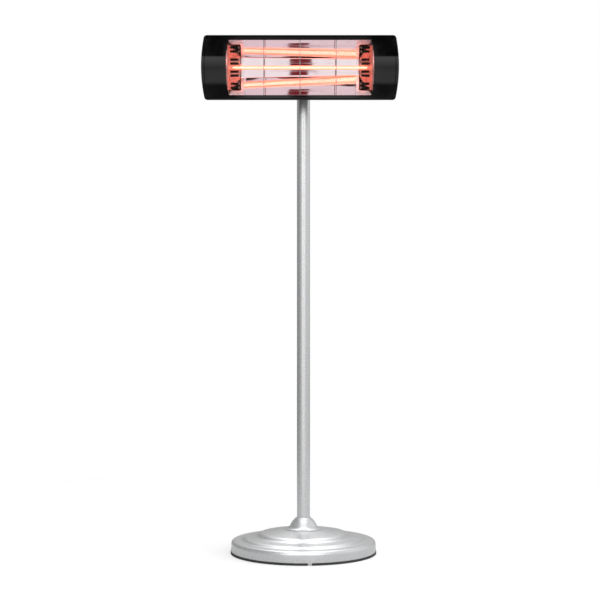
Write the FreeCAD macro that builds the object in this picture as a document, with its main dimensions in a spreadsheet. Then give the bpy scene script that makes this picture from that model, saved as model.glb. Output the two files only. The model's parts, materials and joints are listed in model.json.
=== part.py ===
import FreeCAD, Part
# Floor-standing infrared heater: a lamp head that tilts on a pole, over a weighted round base.
# Millimetres, +Z up, the front towards -Y. The origin is the centre of the base on the floor.
# Pieces of the head are drawn in the head's own frame: its origin is the middle of the head on the
# plane of the front rim, and +Y points to the back. They are then turned to the rest tilt.
import math
import os
import re

import Sketcher
from FreeCAD import Placement, Rotation, Vector

SIZES = {
    # Fits
    "slip_fit": 0.15,  # clearance of pieces that are fixed to each other
    "running_fit": 0.08,  # radial clearance of pins that turn
    # Spun base shell, from the rim inwards
    "cover_radius": 188,
    "cover_wall": 2,
    "rim_height": 34,
    "shoulder_radius": 11,
    "outer_tread_width": 10,
    "outer_tread_rise": 0.5,
    "first_riser_width": 18,
    "first_riser_rise": 5.5,
    "middle_tread_width": 20,
    "middle_tread_rise": 3.5,
    "second_riser_width": 20,
    "second_riser_rise": 8,
    "crown_radius": 50,
    "inner_tread_rise": 11,
    "step_round": 30,
    # Rubber edging of the base
    "trim_lip": 1.3,
    "trim_floor": 2.5,
    "trim_height": 6,
    "trim_gap": 3.2,  # degrees of the butt joint
    "trim_gap_turn": 4.7,  # degrees from the front to the butt joint
    # Ballast and its pads
    "weight_clearance": 18,
    "weight_gap": 2,
    "weight_hub_inset": 6,
    "pad_radius": 12,
    "pad_height": 4,
    "pad_inset": 28,
    # Centre bolt of the base
    "bolt_radius": 5,
    "bolt_head_radius": 9.8,
    "bolt_head_height": 6.4,
    "bolt_end_gap": 4,
    "washer_radius": 20,
    "washer_thickness": 3,
    "recess_radius": 23,
    "recess_depth": 10,
    # Collar at the foot of the pole
    "collar_inset": 2,
    "collar_edge": 1.2,
    "collar_height": 29.5,
    "collar_lip": 1.9,
    "collar_waist_inset": 14,
    "collar_waist_height": 10.5,
    "collar_shoulder": 50,
    "collar_flare": 16,
    "collar_floor": 5.5,
    "grub_radius": 3,
    "grub_length": 9,
    "grub_height": 19,
    "grub_spread": 35,  # degrees to each side of the back
    # Pole and its plugs
    "pole_radius": 17,
    "pole_wall": 2,
    "pole_length": 1111,
    "plug_length": 26,
    "spigot_length": 40,
    "rivet_radius": 2,
    "rivet_head_radius": 4,
    "rivet_head_height": 1.6,
    "rivet_depth": 6,
    "rivet_drop": 18,
    "rivet_spread": 40,  # degrees to each side of the back
    "cap_thickness": 8,
    "tang_thickness": 8,
    "tang_width": 28,
    "tang_rise": 26,
    # Tilt joint
    "rest_tilt": 9.2,  # degrees that the head looks down at rest
    "pivot_reach": 118,
    "pivot_drop": 50,
    "pivot_radius": 4,
    "ear_thickness": 8,
    "ear_radius": 14,
    "ear_upper_angle": 30,
    "ear_lower_angle": -120,
    "ear_top_inset": 14,
    "friction_washer_thickness": 1,
    "friction_washer_radius": 13,
    "pivot_head_radius": 10,
    "pivot_head_height": 5,
    "knob_washer_thickness": 1.5,
    "knob_washer_radius": 9,
    "knob_radius": 20,
    "knob_hub_radius": 11,
    "knob_hub_length": 7,
    "knob_grip_length": 13,
    "knob_scallop_radius": 7,
    "knob_scallop_circle": 24,
    "insert_radius": 6,
    "insert_length": 14,
    # Plate of the bracket
    "plate_width": 90,
    "plate_bottom_inset": 2,
    "plate_top_inset": 8,
    "plate_thickness": 3,
    "plate_screw_x": 32,
    "plate_screw_low_inset": 14,
    "plate_screw_high_inset": 12,
    "plate_screw_radius": 2.5,
    "plate_screw_head_radius": 4.6,
    "plate_screw_head_height": 3,
    "nut_radius": 4.6,
    "nut_thickness": 4,
    # Casing of the head
    "head_width": 498,
    "head_height": 162,
    "side_bulge": 6.5,
    "head_corner": 9,
    "front_bulge": 10,
    "casing_depth": 85,
    "casing_flat": 30,
    "back_inset": 31,
    "casing_wall": 3,
    "end_wall": 7.5,
    "rim_side": 7,
    "front_recess": 12,
    "recess_corner": 7,
    "casing_round": 9,
    "front_round": 1.5,
    "end_round": 1,
    "boss_offset": 8,
    "boss_drop": 14,
    "boss_radius": 5,
    "casing_screw_radius": 1.95,
    "casing_screw_head_radius": 3.9,
    "casing_screw_head_height": 2.6,
    "casing_screw_reach": 1,
    "vent_width": 6,
    "vent_front": 53,
    "vent_length": 20,
    "vent_margin": 28,
    "vent_count": 25,
    # Front frame with the window
    "reveal": 1.3,
    "fascia_inset": 1,
    "fascia_wall": 3,
    "fascia_corner": 6,
    "panel_width": 61.5,
    "border_height": 12.5,
    "window_bulge": 6.5,
    "window_corner": 3,
    "post_inset": 36,
    "post_drop": 31,
    "post_radius": 4,
    "fascia_screw_radius": 1.55,
    "fascia_screw_head_radius": 3.2,
    "fascia_screw_head_height": 2.2,
    "fascia_screw_length": 11,
    "pilot_depth": 14,
    # Reflector trough
    "reflector_front": 6,
    "reflector_depth": 43,
    "reflector_sheet": 1.2,
    "mouth_overlap": 2.5,
    "reflector_floor": 26,
    "reflector_flange": 3.5,
    "reflector_inset": 1.5,
    "cheek_inset": 4,
    "cheek_lean": 0.72,
    "cheek_sheet": 1.2,
    "cheek_start": 1.2,
    "cheek_drop": 14.5,
    "cheek_bays": 5.6,  # slot pitches in half the height of a cheek
    "cheek_slot_height": 6,
    "cheek_slot_front": 9.5,
    "cheek_slot_length": 29,
    # Guard wires
    "guard_radius": 1,
    "guard_margin": 4.5,
    "guard_offset": 1.8,
    "guard_lead": 2.2,
    "guard_bend": 3,
    "guard_tail": 4,
    # Chassis plate behind the trough
    "chassis_sheet": 1.5,
    "chassis_inset": 21,
    "chassis_drop": 20,
    "lead_hole_radius": 4,
    "lead_hole_reach": 17,
    # Lamp
    "lamp_stand_off": 20,
    "tube_radius": 5.25,
    "tube_wall": 1,
    "tube_inset": 2,
    "cheek_hole_radius": 6,
    "lamp_cap_radius": 7.5,
    "lamp_cap_length": 26,
    "lamp_cap_grip": 10,
    "coil_radius": 1.9,
    "coil_wire_radius": 0.4,
    "coil_turns": 96,
    "coil_lead": 4,
    "coil_tail": 2,
    "holder_offset": 5,
    "holder_width": 10,
    "holder_wall": 1.6,
    "holder_leg": 8,
    "holder_foot_length": 20,
    "holder_foot_width": 24,
    "holder_sheet": 1.5,
    # Rocker switch on the back
    "switch_inset": 46,
    "switch_width": 19.7,
    "switch_height": 26.7,
    "switch_depth": 23,
    "bezel_width": 26,
    "bezel_height": 34,
    "bezel_thickness": 2,
    "well_width": 15.2,
    "well_height": 24.6,
    "well_depth": 11,
    "rocker_width": 14.4,
    "rocker_half_length": 11.4,
    "rocker_crown": 3.4,
    "rocker_dip": 1.6,
    "rocker_body": 3.5,
    "rocker_pin_radius": 1.5,
    "rocker_pin_length": 18,
    "rocker_pivot_depth": 2,
    "rocker_tip": 8,  # degrees to each side
    # Cable gland on the back
    "gland_inset": 46,
    "gland_bore": 4.5,
    "gland_thread": 8,
    "gland_hex": 12.7,
    "gland_flange": 5,
    "gland_inner_length": 13,
    "gland_outer_length": 10,
    "gland_outer_thread": 7.5,
    "gland_nut_radius": 11,
    "gland_dome_length": 7,
    "gland_dome_radius": 7,
    "gland_seal_length": 3,
    "locknut_thickness": 5,
    # Wiring behind the chassis plate
    "block_x": -75,
    "block_length": 40,
    "block_depth": 16,
    "block_height": 20,
    "block_bottom": -2,
    "block_well_radius": 2.5,
    "block_well_depth": 9,
    "tip_x": 50,
    "tip_length": 28,
    "tip_depth": 14,
    "tip_dome": 7,
    "tip_dome_height": 3,
    "lead_radius": 1.6,
    "lead_depth": 8.5,  # from the chassis plate to the middle of a lead
    "lead_height": 8,
    "lead_bend": 7,
    "lead_run": 12,  # straight run at each end of a lead
    "lead_sway": 6,
    "switch_lead_depth": 8,  # from the other leads to the terminals of the switch
    "stud_x": -55,
    "stud_z": -40,
    "stud_radius": 4,
    "stud_height": 10,
}

document = FreeCAD.newDocument("infrared_heater")
sheet = document.addObject("Spreadsheet::Sheet", "dim")
for row, (alias, number) in enumerate(SIZES.items(), 1):
    sheet.set(f"A{row}", alias)
    sheet.set(f"B{row}", str(number))
    sheet.setAlias(f"B{row}", alias)
document.recompute()

WORD = re.compile(r"[a-z][a-z_]*")
CUT_SPARE = "5"  # how far a cut runs past the faces that it opens
NODES = {}


# Sizes and expressions
def bound(text):
    """Return the expression with each size named in the sheet."""
    return WORD.sub(lambda word: "dim." + word.group() if word.group() in SIZES else word.group(), str(text))


def value(text):
    """Return the number that an expression of sizes gives."""
    return float(sheet.evalExpression(bound(text)))


def bind(target, name, text):
    """Tie one property of an object to an expression of sizes."""
    target.setExpression(name, bound(text))


def place(target, x, y, z):
    """Tie the position of an object to three expressions."""
    for axis, text in zip("xyz", (x, y, z)):
        bind(target, f"Placement.Base.{axis}", text)


# Heights, depths and radii that several pieces share
FIRST_FOOT_RADIUS = "(cover_radius - shoulder_radius - outer_tread_width)"
FIRST_HEAD_RADIUS = f"({FIRST_FOOT_RADIUS} - first_riser_width)"
SECOND_FOOT_RADIUS = f"({FIRST_HEAD_RADIUS} - middle_tread_width)"
SECOND_HEAD_RADIUS = f"({SECOND_FOOT_RADIUS} - second_riser_width)"
WEIGHT_RADIUS = "(cover_radius - cover_wall - weight_clearance)"
COLLAR_FOOT_RADIUS = "(crown_radius - collar_inset)"
COLLAR_WAIST_RADIUS = f"({COLLAR_FOOT_RADIUS} - collar_waist_inset)"
FIRST_FOOT = "(rim_height + outer_tread_rise)"
FIRST_HEAD = f"({FIRST_FOOT} + first_riser_rise)"
SECOND_FOOT = f"({FIRST_HEAD} + middle_tread_rise)"
SECOND_HEAD = f"({SECOND_FOOT} + second_riser_rise)"
CROWN = f"({SECOND_HEAD} + inner_tread_rise)"
POLE_FOOT = f"({CROWN} + collar_floor)"
POLE_TOP = f"({POLE_FOOT} + pole_length)"
CAP_TOP = f"({POLE_TOP} + cap_thickness)"
PIVOT_HEIGHT = f"({CAP_TOP} + tang_rise)"
BOLT_HOLE = "(bolt_radius + slip_fit)"
BOLT_SEAT = "(pad_height + recess_depth - washer_thickness)"
POLE_BORE = "(pole_radius - pole_wall)"
HEAD_SHIFT = "-(tang_thickness/2 + friction_washer_thickness + ear_thickness/2)"
FRONT_RADIUS = "(((head_height/2)^2 + front_bulge^2)/(2*front_bulge))"
FRONT_CENTRE = f"({FRONT_RADIUS} - front_bulge)"
FASCIA_RADIUS = f"({FRONT_RADIUS} - fascia_inset)"
FASCIA_EDGE = "(head_height/2 - casing_wall - reveal)"
BACK_HALF = "(head_height/2 - back_inset)"
BOSS_RISE = f"({BACK_HALF} - boss_drop)"
POST_RISE = "(head_height/2 - post_drop)"
CHASSIS_RISE = "(head_height/2 - chassis_drop)"
PLATE_BOTTOM = f"(plate_bottom_inset - {BACK_HALF})"
PLATE_TOP = f"({BACK_HALF} - plate_top_inset)"
PLATE_SCREWS = (f"({PLATE_BOTTOM} + plate_screw_low_inset)", f"({PLATE_TOP} - plate_screw_high_inset)")
WINDOW_RISE = "(head_height/2 - border_height)"
MOUTH = f"({WINDOW_RISE} + mouth_overlap)"
CHEEK_RISE = f"({MOUTH} - cheek_drop)"
GUARD_REACH = f"({MOUTH} + guard_offset)"
WINDOW_HALF = "(head_width/2 - panel_width)"
REFLECTOR_HALF = f"({WINDOW_HALF} - reflector_inset)"
CHEEK_MOUTH = f"({REFLECTOR_HALF} - cheek_inset)"
CHEEK_FRONT = "(reflector_front + cheek_start)"
TUBE_HALF = f"({REFLECTOR_HALF} - tube_inset)"
CAP_START = f"({TUBE_HALF} - lamp_cap_grip)"
CAP_END = f"({CAP_START} + lamp_cap_length)"
LEAD_HOLE = f"({CAP_END} + lead_hole_reach)"
GUARD_PITCH = f"(({WINDOW_HALF} - guard_margin)/2)"
BOSS = f"({REFLECTOR_HALF} + boss_offset)"
POST = "(head_width/2 - post_inset)"
SWITCH = f"({BOSS} - switch_inset)"
GLAND = f"(gland_inset - {BOSS})"
REFLECTOR_BACK = "(reflector_front + reflector_depth)"
CHASSIS_FRONT = f"({REFLECTOR_BACK} + reflector_sheet)"
CHEEK_DEEP = f"({CHEEK_MOUTH} - cheek_lean*({CHASSIS_FRONT} - {CHEEK_FRONT}))"
CHASSIS_BACK = f"({CHASSIS_FRONT} + chassis_sheet)"
LAMP_DEPTH = f"({REFLECTOR_BACK} - lamp_stand_off)"
CAVITY_BACK = "(casing_depth - casing_wall)"
PLATE_BACK = "(casing_depth + plate_thickness)"
KNOB_SEAT = "(ear_thickness/2 + friction_washer_thickness + tang_thickness + knob_washer_thickness)"


# Sketches
def arc_between(start, end, radius, turn):
    """Return the arc of under a half circle from start to end, turning left or right."""
    chord = end - start
    rise = math.sqrt(radius**2 - (chord.Length / 2) ** 2)
    leftward = Vector(-chord.y, chord.x, 0).normalize()
    centre = start + chord * 0.5 + leftward * (rise if turn == "left" else -rise)
    first, last = (start, end) if turn == "left" else (end, start)
    angles = [math.atan2(spot.y - centre.y, spot.x - centre.x) for spot in (first, last)]
    return Part.ArcOfCircle(Part.Circle(centre, Vector(0, 0, 1), radius), *angles)


def constrain(sketch, constraint, text):
    """Add a constraint to a sketch and tie its value to an expression."""
    number = sketch.addConstraint(constraint)
    bind(sketch, f"Constraints[{number}]", text)


def pin_point(sketch, geometry, vertex, x, y):
    """Tie one point of a sketch to its two coordinates."""
    for kind, text in (("DistanceX", x), ("DistanceY", y)):
        constrain(sketch, Sketcher.Constraint(kind, -1, 1, geometry, vertex, value(text)), text)


def draw_circle(sketch, x, y, radius):
    """Draw one circle of a sketch."""
    circle = Part.Circle(Vector(value(x), value(y), 0), Vector(0, 0, 1), value(radius))
    geometry = sketch.addGeometry(circle)
    pin_point(sketch, geometry, 3, x, y)
    constrain(sketch, Sketcher.Constraint("Radius", geometry, value(radius)), radius)


def draw_outline(sketch, corners):
    """Draw a closed outline; a corner with a radius and a turn starts an arc, any other a line."""
    spots = [Vector(value(corner[0]), value(corner[1]), 0) for corner in corners]
    edges = []
    for corner, start, end in zip(corners, spots, spots[1:] + spots[:1]):
        if len(corner) == 2:
            edges.append((sketch.addGeometry(Part.LineSegment(start, end)), 1, 2))
            continue
        geometry = sketch.addGeometry(arc_between(start, end, value(corner[2]), corner[3]))
        edges.append((geometry, 1, 2) if corner[3] == "left" else (geometry, 2, 1))
    for (geometry, _, last), (following, first, _) in zip(edges, edges[1:] + edges[:1]):
        sketch.addConstraint(Sketcher.Constraint("Coincident", geometry, last, following, first))
    for (geometry, first, _), corner in zip(edges, corners):
        pin_point(sketch, geometry, first, corner[0], corner[1])
        if len(corner) > 2:
            constrain(sketch, Sketcher.Constraint("Radius", geometry, value(corner[2])), corner[2])


def new_sketch(body, plane, loops, offset="0"):
    """Draw loops on one of the body's own planes, moved along the plane's normal."""
    sketch = body.newObject("Sketcher::SketchObject", "outline")
    support = next(item for item in body.Origin.OriginFeatures if item.Role == plane)
    sketch.AttachmentSupport = [(support, "")]
    sketch.MapMode = "FlatFace"
    bind(sketch, "AttachmentOffset.Base.z", offset)
    for loop in loops:
        if loop[0] == "circle":
            draw_circle(sketch, *loop[1:])
        else:
            draw_outline(sketch, loop)
    document.recompute()
    return sketch


def rectangle(left, right, bottom, top):
    """Return the outline of a rectangle."""
    return [(left, bottom), (right, bottom), (right, top), (left, top)]


def mirrored(corners):
    """Return half an outline, given with positive heights, together with its mirror image."""
    return [(depth, f"-({height})") for depth, height in corners] + corners[::-1]


def bulged_outline(half_width, half_height, corner, bulge):
    """Return a rectangle with round corners whose two sides bow outwards."""
    edge = f"({half_width} - {bulge})"
    flat = f"({edge} - {corner})"
    tall = f"({half_height} - {corner})"
    side = f"({tall}^2 + {bulge}^2)/(2*{bulge})"
    return [
        (f"-{flat}", f"-({half_height})"),
        (flat, f"-({half_height})", corner, "left"),
        (edge, f"-{tall}", side, "left"),
        (edge, tall, corner, "left"),
        (flat, half_height),
        (f"-{flat}", half_height, corner, "left"),
        (f"-{edge}", tall, side, "left"),
        (f"-{edge}", f"-{tall}", corner, "left"),
    ]


# Features of a body
def new_body(label):
    """Start a body that is built from sketches."""
    body = document.addObject("PartDesign::Body", label)
    body.Label = label
    return body


def grow(body, sketch, length, symmetric=False, backward=False):
    """Pad a sketch into a solid."""
    feature = body.newObject("PartDesign::Pad", "pad")
    feature.Profile = sketch
    bind(feature, "Length", length)
    feature.SideType = "Symmetric" if symmetric else "One side"
    feature.Reversed = backward
    document.recompute()


def spin(body, sketch, angle="360"):
    """Revolve a sketch about the upright axis."""
    feature = body.newObject("PartDesign::Revolution", "turning")
    feature.Profile = sketch
    feature.ReferenceAxis = (sketch, ["V_Axis"])
    bind(feature, "Angle", angle)
    document.recompute()


def carve(body, sketch, length, symmetric=True, backward=False):
    """Pocket a sketch out of a solid, and stop if it removes nothing."""
    before = body.Shape.Volume
    feature = body.newObject("PartDesign::Pocket", "pocket")
    feature.Profile = sketch
    bind(feature, "Length", length)
    feature.SideType = "Symmetric" if symmetric else "One side"
    feature.Reversed = backward
    document.recompute()
    if body.Shape.Volume >= before:
        raise ValueError(f"a pocket of {body.Label} removes nothing")
    return feature


def repeat(body, feature, sketch, axis, span, count):
    """Repeat a feature along an axis of its sketch."""
    pattern = body.newObject("PartDesign::LinearPattern", "row")
    pattern.Originals = [feature]
    pattern.Direction = (sketch, [axis])
    bind(pattern, "Length", span)
    bind(pattern, "Occurrences", count)
    body.Tip = pattern
    document.recompute()


def soften(body, radius, chosen):
    """Round the edges that the chosen test picks."""
    base = body.Tip
    names = [f"Edge{number}" for number, edge in enumerate(base.Shape.Edges, 1) if chosen(edge)]
    feature = body.newObject("PartDesign::Fillet", "round")
    feature.Base = (base, names)
    bind(feature, "Radius", radius)
    document.recompute()


# Primitives
TURNS = {
    "X": Rotation(Vector(0, 1, 0), 90),
    "Y": Rotation(Vector(1, 0, 0), -90),
    "Z": Rotation(),
}


def block(x, y, z, length, depth, height):
    """Return a box by its lowest corner and its size along X, Y and Z."""
    box = document.addObject("Part::Box", "block")
    for name, text in (("Length", length), ("Width", depth), ("Height", height)):
        bind(box, name, text)
    place(box, x, y, z)
    return box


def rod(axis, x, y, z, radius, length):
    """Return a cylinder along an axis, by the middle of its first face."""
    cylinder = document.addObject("Part::Cylinder", "rod")
    cylinder.Placement = Placement(Vector(), TURNS[axis])
    bind(cylinder, "Radius", radius)
    bind(cylinder, "Height", length)
    place(cylinder, x, y, z)
    return cylinder


def hexagon(axis, x, y, z, radius, length):
    """Return a hexagonal prism along an axis, by the middle of its first face."""
    prism = document.addObject("Part::Prism", "hexagon")
    prism.Placement = Placement(Vector(), TURNS[axis])
    bind(prism, "Circumradius", radius)
    bind(prism, "Height", length)
    place(prism, x, y, z)
    return prism


def radial_rod(angle, start, z, radius, length):
    """Return a level cylinder that points away from the upright axis."""
    cylinder = document.addObject("Part::Cylinder", "radial_rod")
    cylinder.Placement = Placement(Vector(), Rotation(Vector(0, 1, 0), 90))
    bind(cylinder, "Radius", radius)
    bind(cylinder, "Height", length)
    place(cylinder, start, "0", z)
    turned = document.addObject("Part::Compound", "turned_rod")
    turned.Links = [cylinder]
    turned.Placement = Placement(Vector(), Rotation(Vector(0, 0, 1), value(angle)))
    bind(turned, "Placement.Rotation.Angle", angle)
    return turned


def join(label, pieces):
    """Fuse pieces into one solid."""
    fused = document.addObject("Part::MultiFuse", label)
    fused.Shapes = pieces
    fused.Label = label
    return fused


def group(label, pieces):
    """Keep pieces together as separate solids."""
    compound = document.addObject("Part::Compound", label)
    compound.Links = pieces
    compound.Label = label
    return compound


def trim(label, base, tools):
    """Cut tools out of a base."""
    cut = document.addObject("Part::Cut", label)
    cut.Base = base
    cut.Tool = tools[0] if len(tools) == 1 else group(f"{label}_tools", tools)
    cut.Label = label
    return cut


# Tubes along a path
def rounded_path(points, bend):
    """Return a path of straight runs joined by tangent arcs of one radius."""
    edges = []
    here = points[0]
    for before, corner, after in zip(points, points[1:], points[2:]):
        arriving = (corner - before).normalize()
        leaving = (after - corner).normalize()
        turn = arriving.getAngle(leaving)
        setback = bend * math.tan(turn / 2)
        start = corner - arriving * setback
        end = corner + leaving * setback
        inward = (leaving - arriving).normalize()
        middle = corner + inward * (bend / math.cos(turn / 2) - bend)
        edges.append(Part.makeLine(here, start))
        edges.append(Part.Arc(start, middle, end).toShape())
        here = end
    edges.append(Part.makeLine(here, points[-1]))
    return Part.Wire(edges)


def tube_along(label, path, radius):
    """Return a solid round tube along a path."""
    start = path.Edges[0]
    section = Part.Circle(start.valueAt(start.FirstParameter), start.tangentAt(start.FirstParameter), radius)
    shell = Part.BRepOffsetAPI.MakePipeShell(path)
    shell.add(Part.Wire(section.toShape()))
    shell.build()
    shell.makeSolid()
    feature = document.addObject("Part::Feature", label)
    feature.Label = label
    feature.Shape = shell.shape()
    return feature


# Frames
def in_stand(piece):
    """Keep a piece of the stand where it was drawn."""
    NODES[piece.Label] = piece


def in_head(piece):
    """Turn a piece that was drawn in the head's frame to its place."""
    piece.Placement = Placement(Vector(), Rotation(Vector(1, 0, 0), value("rest_tilt")))
    back = "-(pivot_reach*cos(rest_tilt) + pivot_drop*sin(rest_tilt))"
    up = f"{PIVOT_HEIGHT} - pivot_reach*sin(rest_tilt) + pivot_drop*cos(rest_tilt)"
    place(piece, HEAD_SHIFT, back, up)
    bind(piece, "Placement.Rotation.Angle", "rest_tilt")
    NODES[piece.Label] = piece


def on_pivot(piece):
    """Turn a piece that was drawn about the tilt axis to its place."""
    piece.Placement = Placement(Vector(), Rotation(Vector(1, 0, 0), value("rest_tilt")))
    place(piece, HEAD_SHIFT, "0", PIVOT_HEIGHT)
    bind(piece, "Placement.Rotation.Angle", "rest_tilt")
    NODES[piece.Label] = piece


# Base
def make_base_cover():
    """Spun shell: an upright rim, a round shoulder and two low steps up to the crown."""
    rim_foot = "trim_floor + slip_fit"
    shoulder = "cover_radius - shoulder_radius"
    wall_top = "rim_height - shoulder_radius"
    steps = [
        (FIRST_FOOT_RADIUS, FIRST_FOOT),
        (FIRST_HEAD_RADIUS, FIRST_HEAD),
        (SECOND_FOOT_RADIUS, SECOND_FOOT),
        (SECOND_HEAD_RADIUS, SECOND_HEAD),
        ("crown_radius", CROWN),
        (BOLT_HOLE, CROWN),
    ]
    outside = [
        ("cover_radius", rim_foot),
        ("cover_radius", wall_top, "shoulder_radius", "left"),
        (shoulder, "rim_height"),
    ]
    inside = [
        (shoulder, "rim_height - cover_wall", "shoulder_radius - cover_wall", "right"),
        ("cover_radius - cover_wall", wall_top),
        ("cover_radius - cover_wall", rim_foot),
    ]
    under = [(radius, f"{height} - cover_wall") for radius, height in reversed(steps)]
    body = new_body("base_cover")
    spin(body, new_sketch(body, "XZ_Plane", [outside + steps + under + inside]))
    rings = [value(radius) for radius, _ in steps[:4]]

    def step_edge(edge):
        if not isinstance(edge.Curve, Part.Circle):
            return False
        return any(abs(edge.Curve.Radius - ring) < 1e-3 for ring in rings)

    soften(body, "step_round", step_edge)
    in_stand(body)


def make_base_edge_trim():
    """Rubber channel round the foot of the shell, open at its butt joint."""
    inner = "cover_radius - cover_wall"
    outline = [
        (f"{inner} - trim_lip", "0"),
        ("cover_radius + trim_lip", "0"),
        ("cover_radius + trim_lip", "trim_height"),
        ("cover_radius + slip_fit", "trim_height"),
        ("cover_radius + slip_fit", "trim_floor"),
        (f"{inner} - slip_fit", "trim_floor"),
        (f"{inner} - slip_fit", "trim_height"),
        (f"{inner} - trim_lip", "trim_height"),
    ]
    body = new_body("base_edge_trim")
    spin(body, new_sketch(body, "XZ_Plane", [outline]), "360 - trim_gap")
    body.Placement = Placement(Vector(), Rotation(Vector(0, 0, 1), 1))
    bind(body, "Placement.Rotation.Angle", "trim_gap_turn + trim_gap/2 - 90")
    in_stand(body)


def make_base_weight():
    """Cast ballast, stepped under the shell and hollowed for the head of the bolt."""
    low_top = "rim_height - cover_wall - weight_gap"
    step_top = f"{SECOND_FOOT} - cover_wall - weight_gap"
    seat = "pad_height + recess_depth"
    hub = "crown_radius - weight_hub_inset"
    outline = [
        (BOLT_HOLE, seat),
        ("recess_radius", seat),
        ("recess_radius", "pad_height"),
        (WEIGHT_RADIUS, "pad_height"),
        (WEIGHT_RADIUS, low_top),
        (SECOND_HEAD_RADIUS, low_top),
        (SECOND_HEAD_RADIUS, step_top),
        (hub, step_top),
        (hub, f"{CROWN} - cover_wall"),
        (BOLT_HOLE, f"{CROWN} - cover_wall"),
    ]
    body = new_body("base_weight")
    spin(body, new_sketch(body, "XZ_Plane", [outline]))
    in_stand(body)


def make_floor_pads():
    """Rubber pads under the ballast."""
    pads = []
    for turn in (45, 135, 225, 315):
        x = f"({WEIGHT_RADIUS} - pad_inset)*cos({turn})"
        y = f"({WEIGHT_RADIUS} - pad_inset)*sin({turn})"
        pads.append(rod("Z", x, y, "0", "pad_radius", "pad_height"))
    in_stand(group("floor_pads", pads))


def make_base_bolt():
    """Hexagon bolt up through the ballast, the shell and the collar into the plug of the pole."""
    reach = f"{POLE_FOOT} + plug_length - bolt_end_gap - {BOLT_SEAT}"
    head = hexagon("Z", "0", "0", f"{BOLT_SEAT} - bolt_head_height", "bolt_head_radius", "bolt_head_height")
    shank = rod("Z", "0", "0", BOLT_SEAT, "bolt_radius", reach)
    in_stand(join("base_bolt", [head, shank]))
    disc = rod("Z", "0", "0", BOLT_SEAT, "washer_radius", "washer_thickness")
    hole = rod("Z", "0", "0", BOLT_SEAT, BOLT_HOLE, "washer_thickness")
    in_stand(trim("base_washer", disc, [hole]))


# Pole
def make_pole_collar():
    """Flared cone that the pole stands in, with two grub screws at the back."""
    top = f"{CROWN} + collar_height"
    bore = "pole_radius + slip_fit"
    outline = [
        (BOLT_HOLE, CROWN),
        (COLLAR_FOOT_RADIUS, CROWN),
        (COLLAR_FOOT_RADIUS, f"{CROWN} + collar_edge", "collar_flare", "right"),
        (COLLAR_WAIST_RADIUS, f"{CROWN} + collar_waist_height", "collar_shoulder", "left"),
        ("pole_radius + collar_lip", top),
        (bore, top),
        (bore, POLE_FOOT),
        (BOLT_HOLE, POLE_FOOT),
    ]
    body = new_body("collar_turning")
    spin(body, new_sketch(body, "XZ_Plane", [outline]))
    height = f"{CROWN} + grub_height"
    holes = []
    screws = []
    for side in ("-", "+"):
        angle = f"90 {side} grub_spread"
        holes.append(radial_rod(angle, "pole_radius", height, "grub_radius + slip_fit", COLLAR_FOOT_RADIUS))
        screws.append(radial_rod(angle, bore, height, "grub_radius", "grub_length"))
    in_stand(trim("pole_collar", body, holes))
    in_stand(group("collar_grub_screws", screws))


def make_pole():
    """Tube of the pole, the plug in its foot and the fitting with the tang in its top."""
    rivet_height = f"{POLE_TOP} - rivet_drop"
    rivet_angles = [f"90 {side} rivet_spread" for side in ("-", "+")]
    rivet_start = "pole_radius - rivet_depth"

    def rivet_holes():
        return [
            radial_rod(angle, rivet_start, rivet_height, "rivet_radius + slip_fit", "pole_radius")
            for angle in rivet_angles
        ]

    tube = rod("Z", "0", "0", POLE_FOOT, "pole_radius", "pole_length")
    bore = rod("Z", "0", "0", POLE_FOOT, POLE_BORE, "pole_length")
    in_stand(trim("pole", tube, [bore] + rivet_holes()))

    plug = rod("Z", "0", "0", POLE_FOOT, f"{POLE_BORE} - slip_fit", "plug_length")
    thread = rod("Z", "0", "0", POLE_FOOT, BOLT_HOLE, "plug_length")
    in_stand(trim("pole_foot_plug", plug, [thread]))

    half_tang = "tang_thickness/2"
    spigot = rod("Z", "0", "0", f"{POLE_TOP} - spigot_length", f"{POLE_BORE} - slip_fit", "spigot_length")
    cap = rod("Z", "0", "0", POLE_TOP, "pole_radius", "cap_thickness")
    tang = block(f"-{half_tang}", "-tang_width/2", CAP_TOP, "tang_thickness", "tang_width", "tang_rise")
    tang_end = rod("X", f"-{half_tang}", "0", PIVOT_HEIGHT, "tang_width/2", "tang_thickness")
    eye = rod("X", f"-{half_tang}", "0", PIVOT_HEIGHT, "pivot_radius + running_fit", "tang_thickness")
    fitting = join("fitting_casting", [spigot, cap, tang, tang_end])
    in_stand(trim("pole_top_fitting", fitting, [eye] + rivet_holes()))

    rivets = []
    for angle in rivet_angles:
        shank = radial_rod(angle, rivet_start, rivet_height, "rivet_radius", "rivet_depth")
        head = radial_rod(angle, "pole_radius", rivet_height, "rivet_head_radius", "rivet_head_height")
        rivets.append(join("rivet", [shank, head]))
    in_stand(group("top_fitting_rivets", rivets))


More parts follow.
